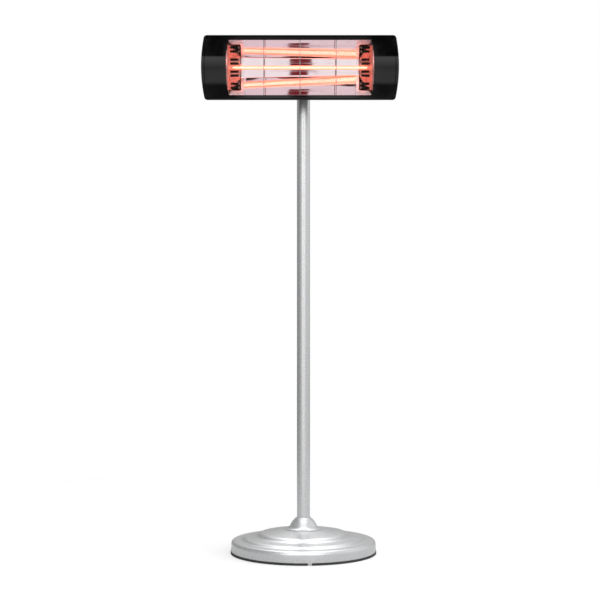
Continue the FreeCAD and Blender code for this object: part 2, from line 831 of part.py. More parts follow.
# Tilt joint
def make_head_bracket():
    """Plate on the back of the casing, with the ear that turns on the tilt bolt."""
    screw_hole = "plate_screw_radius + slip_fit"
    upper = (
        "pivot_reach + ear_radius*cos(ear_upper_angle)",
        "ear_radius*sin(ear_upper_angle) - pivot_drop",
    )
    lower = (
        "pivot_reach + ear_radius*cos(ear_lower_angle)",
        "ear_radius*sin(ear_lower_angle) - pivot_drop",
    )
    root = f"{PLATE_BACK} - plate_thickness/2"
    ear = [
        (root, PLATE_BOTTOM),
        (lower[0], lower[1], "ear_radius", "left"),
        upper,
        (root, f"{PLATE_TOP} - ear_top_inset"),
    ]
    half = "plate_width/2"
    outline = rectangle(f"-{half}", half, PLATE_BOTTOM, PLATE_TOP)
    body = new_body("head_bracket")
    plate = new_sketch(body, "XZ_Plane", [outline], "-casing_depth")
    grow(body, plate, "plate_thickness", backward=True)
    grow(body, new_sketch(body, "YZ_Plane", [ear]), "ear_thickness", symmetric=True)
    holes = [
        ("circle", f"{side}plate_screw_x", height, screw_hole)
        for side in ("", "-")
        for height in PLATE_SCREWS
    ]
    carve(body, new_sketch(body, "XZ_Plane", holes, "-casing_depth"), f"2*plate_thickness + {CUT_SPARE}")
    eye = ("circle", "pivot_reach", "-pivot_drop", "pivot_radius + slip_fit")
    carve(body, new_sketch(body, "YZ_Plane", [eye]), f"ear_thickness + {CUT_SPARE}")
    in_head(body)


def make_bracket_fasteners():
    """Screws through the bracket and the casing, with their nuts inside."""
    screws = []
    nuts = []
    reach = "plate_thickness + casing_wall + nut_thickness"
    for side in ("", "-"):
        for height in PLATE_SCREWS:
            x = f"{side}plate_screw_x"
            inner = f"{CAVITY_BACK} - nut_thickness"
            head = rod("Y", x, PLATE_BACK, height, "plate_screw_head_radius", "plate_screw_head_height")
            shank = rod("Y", x, inner, height, "plate_screw_radius", reach)
            screws.append(join("bracket_screw", [head, shank]))
            nut = hexagon("Y", x, inner, height, "nut_radius", "nut_thickness")
            hole = rod("Y", x, inner, height, "plate_screw_radius + slip_fit", "nut_thickness")
            nuts.append(trim("bracket_nut", nut, [hole]))
    in_head(group("bracket_screws", screws))
    in_head(group("bracket_nuts", nuts))


def ring(label, start, thickness, radius, bore):
    """Make a washer about the tilt axis."""
    disc = rod("X", start, "0", "0", radius, thickness)
    hole = rod("X", start, "0", "0", bore, thickness)
    on_pivot(trim(label, disc, [hole]))


def make_tilt_joint():
    """Bolt, washers and clamp knob of the tilt joint, along the tilt axis."""
    left = "-ear_thickness/2"
    knob_length = "(knob_hub_length + knob_grip_length)"
    head = rod("X", f"{left} - pivot_head_height", "0", "0", "pivot_head_radius", "pivot_head_height")
    shank = rod("X", left, "0", "0", "pivot_radius", f"ear_thickness/2 + {KNOB_SEAT} + insert_length")
    on_pivot(join("tilt_bolt", [head, shank]))
    bore = "pivot_radius + slip_fit"
    ring("friction_washer", "ear_thickness/2", "friction_washer_thickness", "friction_washer_radius", bore)
    washer_start = f"{KNOB_SEAT} - knob_washer_thickness"
    ring("knob_washer", washer_start, "knob_washer_thickness", "knob_washer_radius", bore)
    ring("knob_insert", KNOB_SEAT, "insert_length", "insert_radius", "pivot_radius + running_fit")

    body = new_body("tilt_knob")
    hub = new_sketch(body, "YZ_Plane", [("circle", "0", "0", "knob_hub_radius")], KNOB_SEAT)
    grow(body, hub, knob_length)
    grip_start = f"{KNOB_SEAT} + knob_hub_length"
    grip = new_sketch(body, "YZ_Plane", [("circle", "0", "0", "knob_radius")], grip_start)
    grow(body, grip, "knob_grip_length")
    circle = "knob_scallop_circle"
    scallops = [
        ("circle", f"{circle}*cos({turn})", f"{circle}*sin({turn})", "knob_scallop_radius")
        for turn in range(0, 360, 60)
    ]
    grip_end = f"{KNOB_SEAT} + {knob_length}"
    carve(body, new_sketch(body, "YZ_Plane", scallops, grip_end), f"2*knob_grip_length + {CUT_SPARE}")
    socket = new_sketch(body, "YZ_Plane", [("circle", "0", "0", "insert_radius + slip_fit")], KNOB_SEAT)
    carve(body, socket, "2*insert_length")
    on_pivot(body)


# Casing and front frame
def make_rear_casing():
    """Black shell of the head, open at the front, with sloping vented flanks."""
    half_height = "head_height/2"
    slope = "atan(back_inset/(casing_depth - casing_flat))"
    profile = [
        ("0", f"-{half_height}"),
        ("casing_flat", f"-{half_height}"),
        ("casing_depth", f"-{BACK_HALF}"),
        ("casing_depth", BACK_HALF),
        ("casing_flat", half_height),
        ("0", half_height, FRONT_RADIUS, "left"),
    ]
    mouth = f"-front_bulge - {CUT_SPARE}"
    cavity = mirrored(
        [
            (mouth, f"{half_height} - casing_wall"),
            (f"casing_flat - casing_wall*tan({slope}/2)", f"{half_height} - casing_wall"),
            (CAVITY_BACK, f"{BACK_HALF} - casing_wall*tan(45 deg - {slope}/2)"),
        ]
    )
    waste = rectangle("-head_width", "head_width", "-head_height", "head_height")
    outline = bulged_outline("head_width/2", half_height, "head_corner", "side_bulge")
    recess_height = f"({half_height} - casing_wall)"
    recess = bulged_outline("(head_width/2 - rim_side)", recess_height, "recess_corner", "side_bulge")
    reach = "2*casing_depth + 2*front_bulge"

    body = new_body("rear_casing")
    grow(body, new_sketch(body, "YZ_Plane", [profile]), "head_width", symmetric=True)
    halfway = value("casing_flat/2")
    soften(body, "casing_round", lambda edge: edge.BoundBox.XLength > 1 and edge.CenterOfMass.y > halfway)
    carve(body, new_sketch(body, "XZ_Plane", [waste, outline]), f"{reach} + {CUT_SPARE}")
    end_start = value("head_width/2 - side_bulge - head_corner")
    flank_start = value("casing_flat + casing_round")

    def runs_across(edge):
        return edge.BoundBox.XLength > 1e-3 or edge.BoundBox.ZLength > 1e-3

    def back_end(edge):
        return abs(edge.CenterOfMass.x) > end_start and edge.CenterOfMass.y > flank_start

    soften(body, "front_round", lambda edge: runs_across(edge) and edge.CenterOfMass.y < halfway / 2)
    soften(body, "end_round", lambda edge: runs_across(edge) and back_end(edge))
    cavity_length = "head_width - 2*side_bulge - 2*end_wall"
    carve(body, new_sketch(body, "YZ_Plane", [cavity]), cavity_length)
    front = new_sketch(body, "XZ_Plane", [recess], "-front_recess")
    carve(body, front, f"front_recess + front_bulge + {CUT_SPARE}", symmetric=False, backward=True)

    bosses = [("circle", x, z, "boss_radius") for x, z in four_corners(BOSS, BOSS_RISE)]
    boss_length = f"casing_depth - casing_wall/2 - {CHASSIS_BACK}"
    grow(body, new_sketch(body, "XZ_Plane", bosses, f"-{CHASSIS_BACK}"), boss_length, backward=True)
    last_vent = f"({BOSS} - vent_margin)"
    vent = rectangle(
        f"-{last_vent} - vent_width/2",
        f"-{last_vent} + vent_width/2",
        "vent_front",
        "vent_front + vent_length",
    )
    first_vent = new_sketch(body, "XY_Plane", [vent])
    slot = carve(body, first_vent, f"head_height + {CUT_SPARE}")
    repeat(body, slot, first_vent, "H_Axis", f"2*{last_vent}", "vent_count")

    holes = [("circle", x, z, "casing_screw_radius + slip_fit") for x, z in four_corners(BOSS, BOSS_RISE)]
    deep = f"2*(casing_depth - {CHASSIS_BACK} + {CUT_SPARE})"
    carve(body, new_sketch(body, "XZ_Plane", holes, "-casing_depth"), deep)
    openings = [
        ("circle", f"{side}plate_screw_x", height, "plate_screw_radius + slip_fit")
        for side in ("", "-")
        for height in PLATE_SCREWS
    ]
    openings.append(("circle", GLAND, "0", "gland_thread + slip_fit"))
    openings.append(
        rectangle(
            f"{SWITCH} - switch_width/2 - slip_fit",
            f"{SWITCH} + switch_width/2 + slip_fit",
            "-switch_height/2 - slip_fit",
            "switch_height/2 + slip_fit",
        )
    )
    carve(body, new_sketch(body, "XZ_Plane", openings, "-casing_depth"), "4*casing_wall")
    in_head(body)


def four_corners(x, z):
    """Return the four mirrored places of a point."""
    return [(f"{left}{x}", f"{low}{z}") for left in ("", "-") for low in ("", "-")]


def arc_depth(radius, height):
    """Return the depth of a front arc at a height, for a radius about the common centre."""
    return f"({FRONT_CENTRE} - sqrt(({radius})^2 - ({height})^2))"


def make_fascia():
    """Glossy bowed frame round the window, with posts that reach back to the chassis plate."""
    back_radius = f"({FASCIA_RADIUS} - fascia_wall)"
    band = [
        (arc_depth(FASCIA_RADIUS, FASCIA_EDGE), f"-{FASCIA_EDGE}"),
        (arc_depth(back_radius, FASCIA_EDGE), f"-{FASCIA_EDGE}", back_radius, "right"),
        (arc_depth(back_radius, FASCIA_EDGE), FASCIA_EDGE),
        (arc_depth(FASCIA_RADIUS, FASCIA_EDGE), FASCIA_EDGE, FASCIA_RADIUS, "left"),
    ]
    half_width = "(head_width/2 - rim_side - reveal)"
    outline = bulged_outline(half_width, FASCIA_EDGE, "fascia_corner", "side_bulge")
    waste = rectangle("-head_width", "head_width", "-head_height", "head_height")
    window = bulged_outline(WINDOW_HALF, WINDOW_RISE, "window_corner", "window_bulge")
    reach = "4*front_bulge"
    body = new_body("fascia")
    grow(body, new_sketch(body, "YZ_Plane", [band]), "head_width", symmetric=True)
    carve(body, new_sketch(body, "XZ_Plane", [waste, outline]), reach)
    carve(body, new_sketch(body, "XZ_Plane", [window]), reach)
    posts = [("circle", x, z, "post_radius") for x, z in four_corners(POST, POST_RISE)]
    root = arc_depth(f"{FASCIA_RADIUS} - fascia_wall/2", POST_RISE)
    grow(body, new_sketch(body, "XZ_Plane", posts, f"-{CHASSIS_FRONT}"), f"{CHASSIS_FRONT} - {root}")
    pilots = [("circle", x, z, "fascia_screw_radius + slip_fit") for x, z in four_corners(POST, POST_RISE)]
    carve(body, new_sketch(body, "XZ_Plane", pilots, f"-{CHASSIS_FRONT}"), "2*pilot_depth")
    in_head(body)


def make_head_screws():
    """Screws from the back into the chassis plate, and from the plate into the posts."""
    casing_screws = []
    for x, z in four_corners(BOSS, BOSS_RISE):
        head = rod("Y", x, "casing_depth", z, "casing_screw_head_radius", "casing_screw_head_height")
        tip = f"({CHASSIS_FRONT} - casing_screw_reach)"
        shank = rod("Y", x, tip, z, "casing_screw_radius", f"casing_depth - {tip}")
        casing_screws.append(join("casing_screw", [head, shank]))
    in_head(group("casing_screws", casing_screws))
    fascia_screws = []
    for x, z in four_corners(POST, POST_RISE):
        head = rod("Y", x, CHASSIS_BACK, z, "fascia_screw_head_radius", "fascia_screw_head_height")
        shank_start = f"{CHASSIS_BACK} - fascia_screw_length"
        shank = rod("Y", x, shank_start, z, "fascia_screw_radius", "fascia_screw_length")
        fascia_screws.append(join("fascia_screw", [head, shank]))
    in_head(group("fascia_screws", fascia_screws))


# Trough, cheeks and guard
def make_chassis_plate():
    """Steel plate across the head that carries the trough, the lamp and the wiring."""
    half_width = "(head_width/2 - chassis_inset)"
    outline = rectangle(f"-{half_width}", half_width, f"-{CHASSIS_RISE}", CHASSIS_RISE)
    holes = [("circle", x, z, "casing_screw_radius + slip_fit") for x, z in four_corners(BOSS, BOSS_RISE)]
    holes += [("circle", x, z, "fascia_screw_radius + slip_fit") for x, z in four_corners(POST, POST_RISE)]
    holes += [("circle", f"{side}{LEAD_HOLE}", "0", "lead_hole_radius") for side in ("", "-")]
    body = new_body("chassis_plate")
    sketch = new_sketch(body, "XZ_Plane", [outline] + holes, f"-{CHASSIS_FRONT}")
    grow(body, sketch, "chassis_sheet", backward=True)
    in_head(body)


TROUGH = [("reflector_front", MOUTH), (REFLECTOR_BACK, "reflector_floor")]


def make_reflector():
    """Polished sheet folded into a trough, with flanges at its mouth and notched ends for the cheeks."""
    lip = f"{MOUTH} + reflector_flange"
    polished = [("reflector_front", lip)] + TROUGH
    outer = [(f"{depth} + reflector_sheet", height) for depth, height in polished]
    body = new_body("reflector")
    sketch = new_sketch(body, "YZ_Plane", [mirrored(polished) + mirrored(outer)[::-1]])
    grow(body, sketch, f"2*{REFLECTOR_HALF}", symmetric=True)
    holes = [
        ("circle", f"{number}*{GUARD_PITCH}", f"{low}{GUARD_REACH}", "guard_radius + slip_fit")
        for number in (-1, 0, 1)
        for low in ("", "-")
    ]
    thick = f"2*reflector_sheet + {CUT_SPARE}"
    carve(body, new_sketch(body, "XZ_Plane", holes, "-reflector_front"), thick)
    notch_start = f"({CHEEK_DEEP} - slip_fit)"
    notch_end = f"({REFLECTOR_HALF} + {CUT_SPARE})"
    notch_rise = f"({CHEEK_RISE} + slip_fit)"
    notches = [
        rectangle(notch_start, notch_end, f"-{notch_rise}", notch_rise),
        rectangle(f"-{notch_end}", f"-{notch_start}", f"-{notch_rise}", notch_rise),
    ]
    carve(body, new_sketch(body, "XZ_Plane", notches), "2*casing_depth")
    in_head(body)


def make_cheek(label, side):
    """Slanted end plate of the trough, with vent slots and the hole for the lamp."""
    strip = [
        (f"{side}{CHEEK_MOUTH}", CHEEK_FRONT),
        (f"{side}{CHEEK_DEEP}", CHASSIS_FRONT),
        (f"{side}({CHEEK_DEEP} + cheek_sheet)", CHASSIS_FRONT),
        (f"{side}({CHEEK_MOUTH} + cheek_sheet)", CHEEK_FRONT),
    ]
    slot_start = "(reflector_front + cheek_slot_front)"
    slots = [
        rectangle(
            slot_start,
            f"{slot_start} + cheek_slot_length",
            f"{bay}*{CHEEK_RISE}/cheek_bays - cheek_slot_height/2",
            f"{bay}*{CHEEK_RISE}/cheek_bays + cheek_slot_height/2",
        )
        for bay in (-5, -4, -2, -1, 1, 2, 4, 5)
    ]
    lamp_hole = ("circle", LAMP_DEPTH, "0", "cheek_hole_radius")
    body = new_body(label)
    grow(body, new_sketch(body, "XY_Plane", [strip]), f"2*{CHEEK_RISE}", symmetric=True)
    carve(body, new_sketch(body, "YZ_Plane", slots + [lamp_hole]), "head_width")
    in_head(body)


def make_guard_wires():
    """Three upright wires in front of the trough, whose ends turn back through its flanges."""
    front = value("reflector_front - guard_lead")
    tail = value("reflector_front + reflector_sheet + guard_tail")
    spread = value(GUARD_REACH)
    wires = []
    for number in (-1, 0, 1):
        x = number * value(GUARD_PITCH)
        points = [
            Vector(x, tail, -spread),
            Vector(x, front, -spread),
            Vector(x, front, spread),
            Vector(x, tail, spread),
        ]
        path = rounded_path(points, value("guard_bend"))
        wires.append(tube_along("guard_wire", path, value("guard_radius")))
    in_head(group("guard_wires", wires))


# Lamp
def biarc(start, leaving, end, arriving):
    """Return the two arcs that join two points with given directions."""
    chord = end - start
    both = leaving + arriving
    square = 2 - 2 * leaving.dot(arriving)
    linear = 2 * chord.dot(both)
    reach = (math.sqrt(linear**2 + 4 * square * chord.dot(chord)) - linear) / (2 * square)
    joint = (start + leaving * reach + end - arriving * reach) * 0.5
    return [bowed_arc(start, joint, leaving), bowed_arc(end, joint, arriving * -1, reverse=True)]


def bowed_arc(start, end, leaving, reverse=False):
    """Return the arc from start to end that leaves in a given direction."""
    chord = end - start
    along = Vector(chord).normalize()
    sideways = leaving - along * leaving.dot(along)
    sagitta = chord.Length / 2 * math.tan(leaving.getAngle(along) / 2)
    middle = start + chord * 0.5 + sideways.normalize() * sagitta
    ends = (end, middle, start) if reverse else (start, middle, end)
    return Part.Arc(*ends).toShape()


def make_lamp_coil():
    """Tungsten helix along the middle of the tube, with straight ends in the lamp caps."""
    radius = value("coil_radius")
    turns = int(value("coil_turns"))
    half = value(f"{TUBE_HALF} - coil_lead - coil_tail")
    depth = value(LAMP_DEPTH)
    step = 2 * half / (2 * turns)
    slope = step / math.pi
    spots = []
    headings = []
    for number in range(2 * turns + 1):
        turn = math.pi * number
        spots.append(Vector(number * step - half, depth + radius * math.cos(turn), radius * math.sin(turn)))
        heading = Vector(slope, -radius * math.sin(turn), radius * math.cos(turn))
        headings.append(heading.normalize())
    axial = Vector(1, 0, 0)
    lead = value("coil_lead")
    tail = value("coil_tail")
    first = Vector(-half - lead, depth, 0)
    last = Vector(half + lead, depth, 0)
    edges = [Part.makeLine(first - axial * tail, first)]
    edges += biarc(first, axial, spots[0], headings[0])
    for number in range(2 * turns):
        edges += biarc(spots[number], headings[number], spots[number + 1], headings[number + 1])
    edges += biarc(spots[-1], headings[-1], last, axial)
    edges.append(Part.makeLine(last, last + axial * tail))
    coil = tube_along("lamp_coil", Part.Wire(edges), value("coil_wire_radius"))
    print_least_gap("lamp_coil", edges, value("coil_wire_radius"))
    in_head(coil)


def print_least_gap(label, edges, radius):
    """Print the least gap between turns, from points along the path over half a turn apart."""
    samples = 6
    arcs_per_turn = 4
    points = [point for edge in edges for point in edge.discretize(samples + 1)[:-1]]
    turn = samples * arcs_per_turn
    nearest = min(
        (one - other).Length
        for index, one in enumerate(points)
        for other in points[index + turn // 2 : index + 2 * turn]
    )
    print(f"{label}: least gap between turns {nearest - 2 * radius:.2f} mm")


def make_lamp():
    """Quartz tube, its ceramic caps and the clips that hold them."""
    bore = "tube_radius - tube_wall"
    length = f"2*{TUBE_HALF}"
    glass = rod("X", f"-{TUBE_HALF}", LAMP_DEPTH, "0", "tube_radius", length)
    hollow = rod("X", f"-{TUBE_HALF}", LAMP_DEPTH, "0", bore, length)
    in_head(trim("lamp_tube", glass, [hollow]))
    for side, sign in (("left", "-"), ("right", "")):
        cap_from = CAP_START if sign == "" else f"-{CAP_END}"
        socket_from = CAP_START if sign == "" else f"-{TUBE_HALF}"
        cap = rod("X", cap_from, LAMP_DEPTH, "0", "lamp_cap_radius", "lamp_cap_length")
        socket = rod("X", socket_from, LAMP_DEPTH, "0", "tube_radius + slip_fit", "lamp_cap_grip")
        in_head(trim(f"{side}_lamp_cap", cap, [socket]))

        holder = f"({TUBE_HALF} + holder_offset)"
        ring_from = holder if sign == "" else f"-{holder} - holder_width"
        foot_from = holder if sign == "" else f"-{holder} - holder_foot_length"
        ring_radius = "(lamp_cap_radius + slip_fit + holder_wall)"
        leg_from = f"({LAMP_DEPTH} + lamp_cap_radius + slip_fit)"
        clip = rod("X", ring_from, LAMP_DEPTH, "0", ring_radius, "holder_width")
        leg_length = f"{CHASSIS_FRONT} - {leg_from}"
        leg = block(ring_from, leg_from, "-holder_leg/2", "holder_width", leg_length, "holder_leg")
        foot = block(
            foot_from,
            f"{CHASSIS_FRONT} - holder_sheet",
            "-holder_foot_width/2",
            "holder_foot_length",
            "holder_sheet",
            "holder_foot_width",
        )
        seat = rod("X", ring_from, LAMP_DEPTH, "0", "lamp_cap_radius + slip_fit", "holder_width")
        in_head(trim(f"{side}_lamp_holder", join("holder_pressing", [clip, leg, foot]), [seat]))


# Switch and cable gland
def make_switch():
    """Rocker switch in the back of the casing; the rocker turns on a pin in the housing."""
    housing = block(
        f"{SWITCH} - switch_width/2",
        "casing_depth - switch_depth",
        "-switch_height/2",
        "switch_width",
        "switch_depth",
        "switch_height",
    )
    bezel = block(
        f"{SWITCH} - bezel_width/2",
        "casing_depth",
        "-bezel_height/2",
        "bezel_width",
        "bezel_thickness",
        "bezel_height",
    )
    well = block(
        f"{SWITCH} - well_width/2",
        "casing_depth + bezel_thickness - well_depth",
        "-well_height/2",
        "well_width",
        f"well_depth + {CUT_SPARE}",
        "well_height",
    )
    pivot = "(casing_depth - rocker_pivot_depth)"
    pin_start = f"{SWITCH} - rocker_pin_length/2"
    pin_hole = rod("X", pin_start, pivot, "0", "rocker_pin_radius + running_fit", "rocker_pin_length")
    in_head(trim("switch_housing", join("switch_moulding", [housing, bezel]), [well, pin_hole]))

    face = [
        ("-rocker_body", "-rocker_half_length"),
        ("rocker_crown", "-rocker_half_length"),
        ("rocker_dip", "0"),
        ("rocker_crown", "rocker_half_length"),
        ("-rocker_body", "rocker_half_length"),
    ]
    paddle = new_body("rocker_paddle")
    grow(paddle, new_sketch(paddle, "YZ_Plane", [face]), "rocker_width", symmetric=True)
    pin = rod("X", "-rocker_pin_length/2", "0", "0", "rocker_pin_radius", "rocker_pin_length")
    tipped = join("tipped_rocker", [paddle, pin])
    tipped.Placement = Placement(Vector(), Rotation(Vector(1, 0, 0), 1))
    bind(tipped, "Placement.Rotation.Angle", "rocker_tip")
    place(tipped, SWITCH, pivot, "0")
    in_head(group("switch_rocker", [tipped]))


def make_gland():
    """Cable gland through the back of the casing: body, dome nut, seal and locknut."""
    x = GLAND
    flange_back = "(casing_depth + gland_flange)"
    inner_end = "(casing_depth - gland_inner_length)"
    outer_end = f"({flange_back} + gland_outer_length)"
    flange = hexagon("Y", x, "casing_depth", "0", "gland_hex", "gland_flange")
    inner = rod("Y", x, inner_end, "0", "gland_thread", "gland_inner_length")
    outer = rod("Y", x, flange_back, "0", "gland_outer_thread", "gland_outer_length")
    bore_length = "gland_inner_length + gland_flange + gland_outer_length"
    bore = rod("Y", x, inner_end, "0", "gland_bore", bore_length)
    in_head(trim("gland_body", join("gland_moulding", [flange, inner, outer]), [bore]))

    seal = rod("Y", x, outer_end, "0", "gland_outer_thread", "gland_seal_length")
    seal_bore = rod("Y", x, outer_end, "0", "gland_bore", "gland_seal_length")
    in_head(trim("gland_seal", seal, [seal_bore]))

    nut_length = "(gland_outer_length + gland_seal_length)"
    grip = rod("Y", x, flange_back, "0", "gland_nut_radius", nut_length)
    dome = document.addObject("Part::Cone", "dome")
    dome.Placement = Placement(Vector(), TURNS["Y"])
    for name, text in (
        ("Radius1", "gland_nut_radius"),
        ("Radius2", "gland_dome_radius"),
        ("Height", "gland_dome_length"),
    ):
        bind(dome, name, text)
    place(dome, x, f"{flange_back} + {nut_length}", "0")
    thread = rod("Y", x, flange_back, "0", "gland_outer_thread + slip_fit", nut_length)
    mouth = rod("Y", x, flange_back, "0", "gland_bore", f"{nut_length} + gland_dome_length")
    in_head(trim("gland_nut", join("nut_moulding", [grip, dome]), [thread, mouth]))

    locknut_start = f"{CAVITY_BACK} - locknut_thickness"
    locknut = hexagon("Y", x, locknut_start, "0", "gland_hex", "locknut_thickness")
    locknut_hole = rod("Y", x, locknut_start, "0", "gland_thread + slip_fit", "locknut_thickness")
    in_head(trim("gland_locknut", locknut, [locknut_hole]))


# Wiring
def make_wiring_blocks():
    """Terminal block, tip-over switch and earth stud on the back of the chassis plate."""
    moulding = block("block_x", CHASSIS_BACK, "block_bottom", "block_length", "block_depth", "block_height")
    well_start = f"{CHASSIS_BACK} + block_depth - block_well_depth"
    wells = [
        rod(
            "Y",
            f"block_x + block_length*{number}/6",
            well_start,
            "block_bottom + block_height/2",
            "block_well_radius",
            "block_well_depth",
        )
        for number in (1, 3, 5)
    ]
    in_head(trim("terminal_block", moulding, wells))
    case = block("tip_x", CHASSIS_BACK, "block_bottom", "tip_length", "tip_depth", "block_height")
    dome = rod(
        "Y",
        "tip_x + tip_length/2",
        f"{CHASSIS_BACK} + tip_depth",
        "block_bottom + block_height/2",
        "tip_dome",
        "tip_dome_height",
    )
    in_head(join("tip_switch", [case, dome]))
    nut = hexagon("Y", "stud_x", CHASSIS_BACK, "stud_z", "stud_radius", "stud_height")
    in_head(group("earth_stud", [nut]))


def lead(label, points):
    """Return a lead along a list of points of the head's frame."""
    path = rounded_path([Vector(*point) for point in points], value("lead_bend"))
    return tube_along(label, path, value("lead_radius"))


def lead_to_lamp(side):
    """Return the last points of a lead: through the chassis plate and into the cap of the lamp."""
    depth = value(f"{CHASSIS_BACK} + lead_depth")
    lamp = value(LAMP_DEPTH)
    hole = value(LEAD_HOLE)
    bend = value("lead_bend")
    cap_end = value(CAP_END)
    return [
        (side * (hole - bend), depth, 0),
        (side * hole, depth - bend / 2, 0),
        (side * hole, lamp + bend, 0),
        (side * (hole - bend), lamp, 0),
        (side * cap_end, lamp, 0),
    ]


def make_leads():
    """Leads from the terminal block to the switches, the lamp caps and the earth stud."""
    depth = value(f"{CHASSIS_BACK} + lead_depth")
    deep = depth + value("switch_lead_depth")
    height = value("lead_height")
    run = value("lead_run")
    block_left = value("block_x")
    block_right = value("block_x + block_length")
    tip_left = value("tip_x")
    tip_right = value("tip_x + tip_length")
    switch_left = value(f"{SWITCH} - switch_width/2")
    switch_right = value(f"{SWITCH} + switch_width/2")
    to_tip_switch = [
        (block_right, depth, height),
        (block_right + run, depth, height),
        ((block_right + tip_left) / 2, depth, height + value("lead_sway")),
        (tip_left - run, depth, height),
        (tip_left, depth, height),
    ]
    to_switch = [
        (tip_right, depth, height),
        (tip_right + run, depth, height),
        (switch_left - run, deep, height),
        (switch_left, deep, height),
    ]
    to_lamp = [(switch_right, deep, height), (switch_right + run, deep, height)] + lead_to_lamp(1)
    live = [lead("live_lead", points) for points in (to_tip_switch, to_switch, to_lamp)]
    in_head(group("live_leads", live))
    neutral = [(block_left, depth, height), (block_left - run, depth, height)] + lead_to_lamp(-1)
    in_head(group("neutral_lead", [lead("neutral_run", neutral)]))
    middle = value("block_x + block_length/2")
    bottom = value("block_bottom")
    stud = value("stud_x")
    stud_depth = value(f"{CHASSIS_BACK} + stud_height/2")
    stud_top = value("stud_z + stud_radius*cos(30)")
    earth = [
        (middle, depth, bottom),
        (middle, depth, bottom - run),
        (stud, stud_depth, stud_top + run),
        (stud, stud_depth, stud_top),
    ]
    in_head(group("earth_lead", [lead("earth_run", earth)]))


def main():
    """Build every piece, check it and write it out."""
    make_base_cover()
    make_base_edge_trim()
    make_base_weight()
    make_floor_pads()
    make_base_bolt()
    make_pole_collar()
    make_pole()
    make_head_bracket()
    make_bracket_fasteners()
    make_tilt_joint()
    make_rear_casing()
    make_fascia()
    make_head_screws()
    make_chassis_plate()
    make_reflector()
    make_cheek("left_cheek", "-")
    make_cheek("right_cheek", "")
    make_guard_wires()
    make_lamp_coil()
    make_lamp()
    make_switch()
    make_gland()
    make_wiring_blocks()
    make_leads()
    document.recompute()
    for item in document.Objects:
        if "Invalid" in item.State or "Error" in item.State:
            raise ValueError(f"{item.Label} failed: {item.State}")
    for label, piece in NODES.items():
        if piece.Shape.isNull() or not piece.Shape.isValid() or not piece.Shape.Solids:
            raise ValueError(f"{label} has no valid solid")
    os.makedirs("parts", exist_ok=True)
    for label, piece in NODES.items():
        piece.Shape.exportStep(f"parts/{label}.step")


main()
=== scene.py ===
import json
import math

import bmesh
import bpy
from mathutils import Matrix, Vector


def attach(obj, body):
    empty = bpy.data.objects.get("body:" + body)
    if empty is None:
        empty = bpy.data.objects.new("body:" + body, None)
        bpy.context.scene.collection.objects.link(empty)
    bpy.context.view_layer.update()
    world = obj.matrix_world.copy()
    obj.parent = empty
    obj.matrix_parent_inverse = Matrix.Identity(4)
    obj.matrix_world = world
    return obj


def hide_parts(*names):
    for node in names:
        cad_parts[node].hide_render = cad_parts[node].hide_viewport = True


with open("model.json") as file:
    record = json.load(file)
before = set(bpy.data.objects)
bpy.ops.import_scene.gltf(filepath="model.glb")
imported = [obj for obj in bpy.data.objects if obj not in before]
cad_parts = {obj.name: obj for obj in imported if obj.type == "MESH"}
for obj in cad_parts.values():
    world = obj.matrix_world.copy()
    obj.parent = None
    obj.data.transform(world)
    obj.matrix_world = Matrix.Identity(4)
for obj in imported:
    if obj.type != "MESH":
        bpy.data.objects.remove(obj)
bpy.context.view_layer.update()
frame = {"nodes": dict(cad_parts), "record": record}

nodes = frame["nodes"]

# Sizes that the modelled pieces share with the solids. In the head's own frame X runs across, Y to
# the back from the plane of the front rim, and Z up that plane.
MM = 0.001
REST_TILT = math.radians(9.2)
HEAD_PLACE = Vector((-0.009, -0.124474, 1.243491))
HEAD_FRAME = Matrix.Translation(HEAD_PLACE) @ Matrix.Rotation(REST_TILT, 4, "X")
TO_THE_BACK = HEAD_FRAME @ Matrix.Rotation(math.radians(-90), 4, "X")
LAMP_DEPTH = 29 * MM
GLAND_ACROSS = -148 * MM
SWITCH_ACROSS = 148 * MM
CREASE = math.radians(32)

# Kinds of socket, and the places of the colour sockets on a Mix node
FLOAT = "NodeSocketFloat"
VECTOR = "NodeSocketVector"
INTEGER = "NodeSocketInt"
GEOMETRY = "NodeSocketGeometry"
MATERIAL = "NodeSocketMaterial"
MIX_INPUTS = (0, 6, 7)
MIX_RESULT = 2


# Node trees
def feed(tree, socket, value):
    """Set a socket to a value, or link it to another node's output."""
    if isinstance(value, bpy.types.NodeSocket):
        tree.links.new(value, socket)
    else:
        socket.default_value = value


def add_node(tree, kind, **values):
    """Add a node and feed its inputs by name."""
    made = tree.nodes.new(kind)
    for name, value in values.items():
        feed(tree, made.inputs[name.replace("_", " ")], value)
    return made


def math_node(tree, operation, *values, clamp=False):
    """Add a sum of one or two values and return its output."""
    made = tree.nodes.new("ShaderNodeMath")
    made.operation = operation
    made.use_clamp = clamp
    for socket, value in zip(made.inputs, values):
        feed(tree, socket, value)
    return made.outputs[0]


def product(tree, first, *others):
    """Multiply values and return the output."""
    for value in others:
        first = math_node(tree, "MULTIPLY", first, value)
    return first


def vector_node(tree, **values):
    """Join values for X, Y and Z, each 0 if not given, and return the vector."""
    return add_node(tree, "ShaderNodeCombineXYZ", **values).outputs["Vector"]


def blend_colours(tree, factor, first, second):
    """Mix two colours by a factor and return the result."""
    made = tree.nodes.new("ShaderNodeMix")
    made.data_type = "RGBA"
    for index, value in zip(MIX_INPUTS, (factor, first, second)):
        feed(tree, made.inputs[index], value)
    return made.outputs[MIX_RESULT]


def remap(tree, value, low, high, to_low=0.0, to_high=1.0):
    """Map a value from one range to another, held at the ends."""
    made = tree.nodes.new("ShaderNodeMapRange")
    tree.links.new(value, made.inputs["Value"])
    ends = {"From Min": low, "From Max": high, "To Min": to_low, "To Max": to_high}
    for name, number in ends.items():
        made.inputs[name].default_value = number
    return made.outputs["Result"]


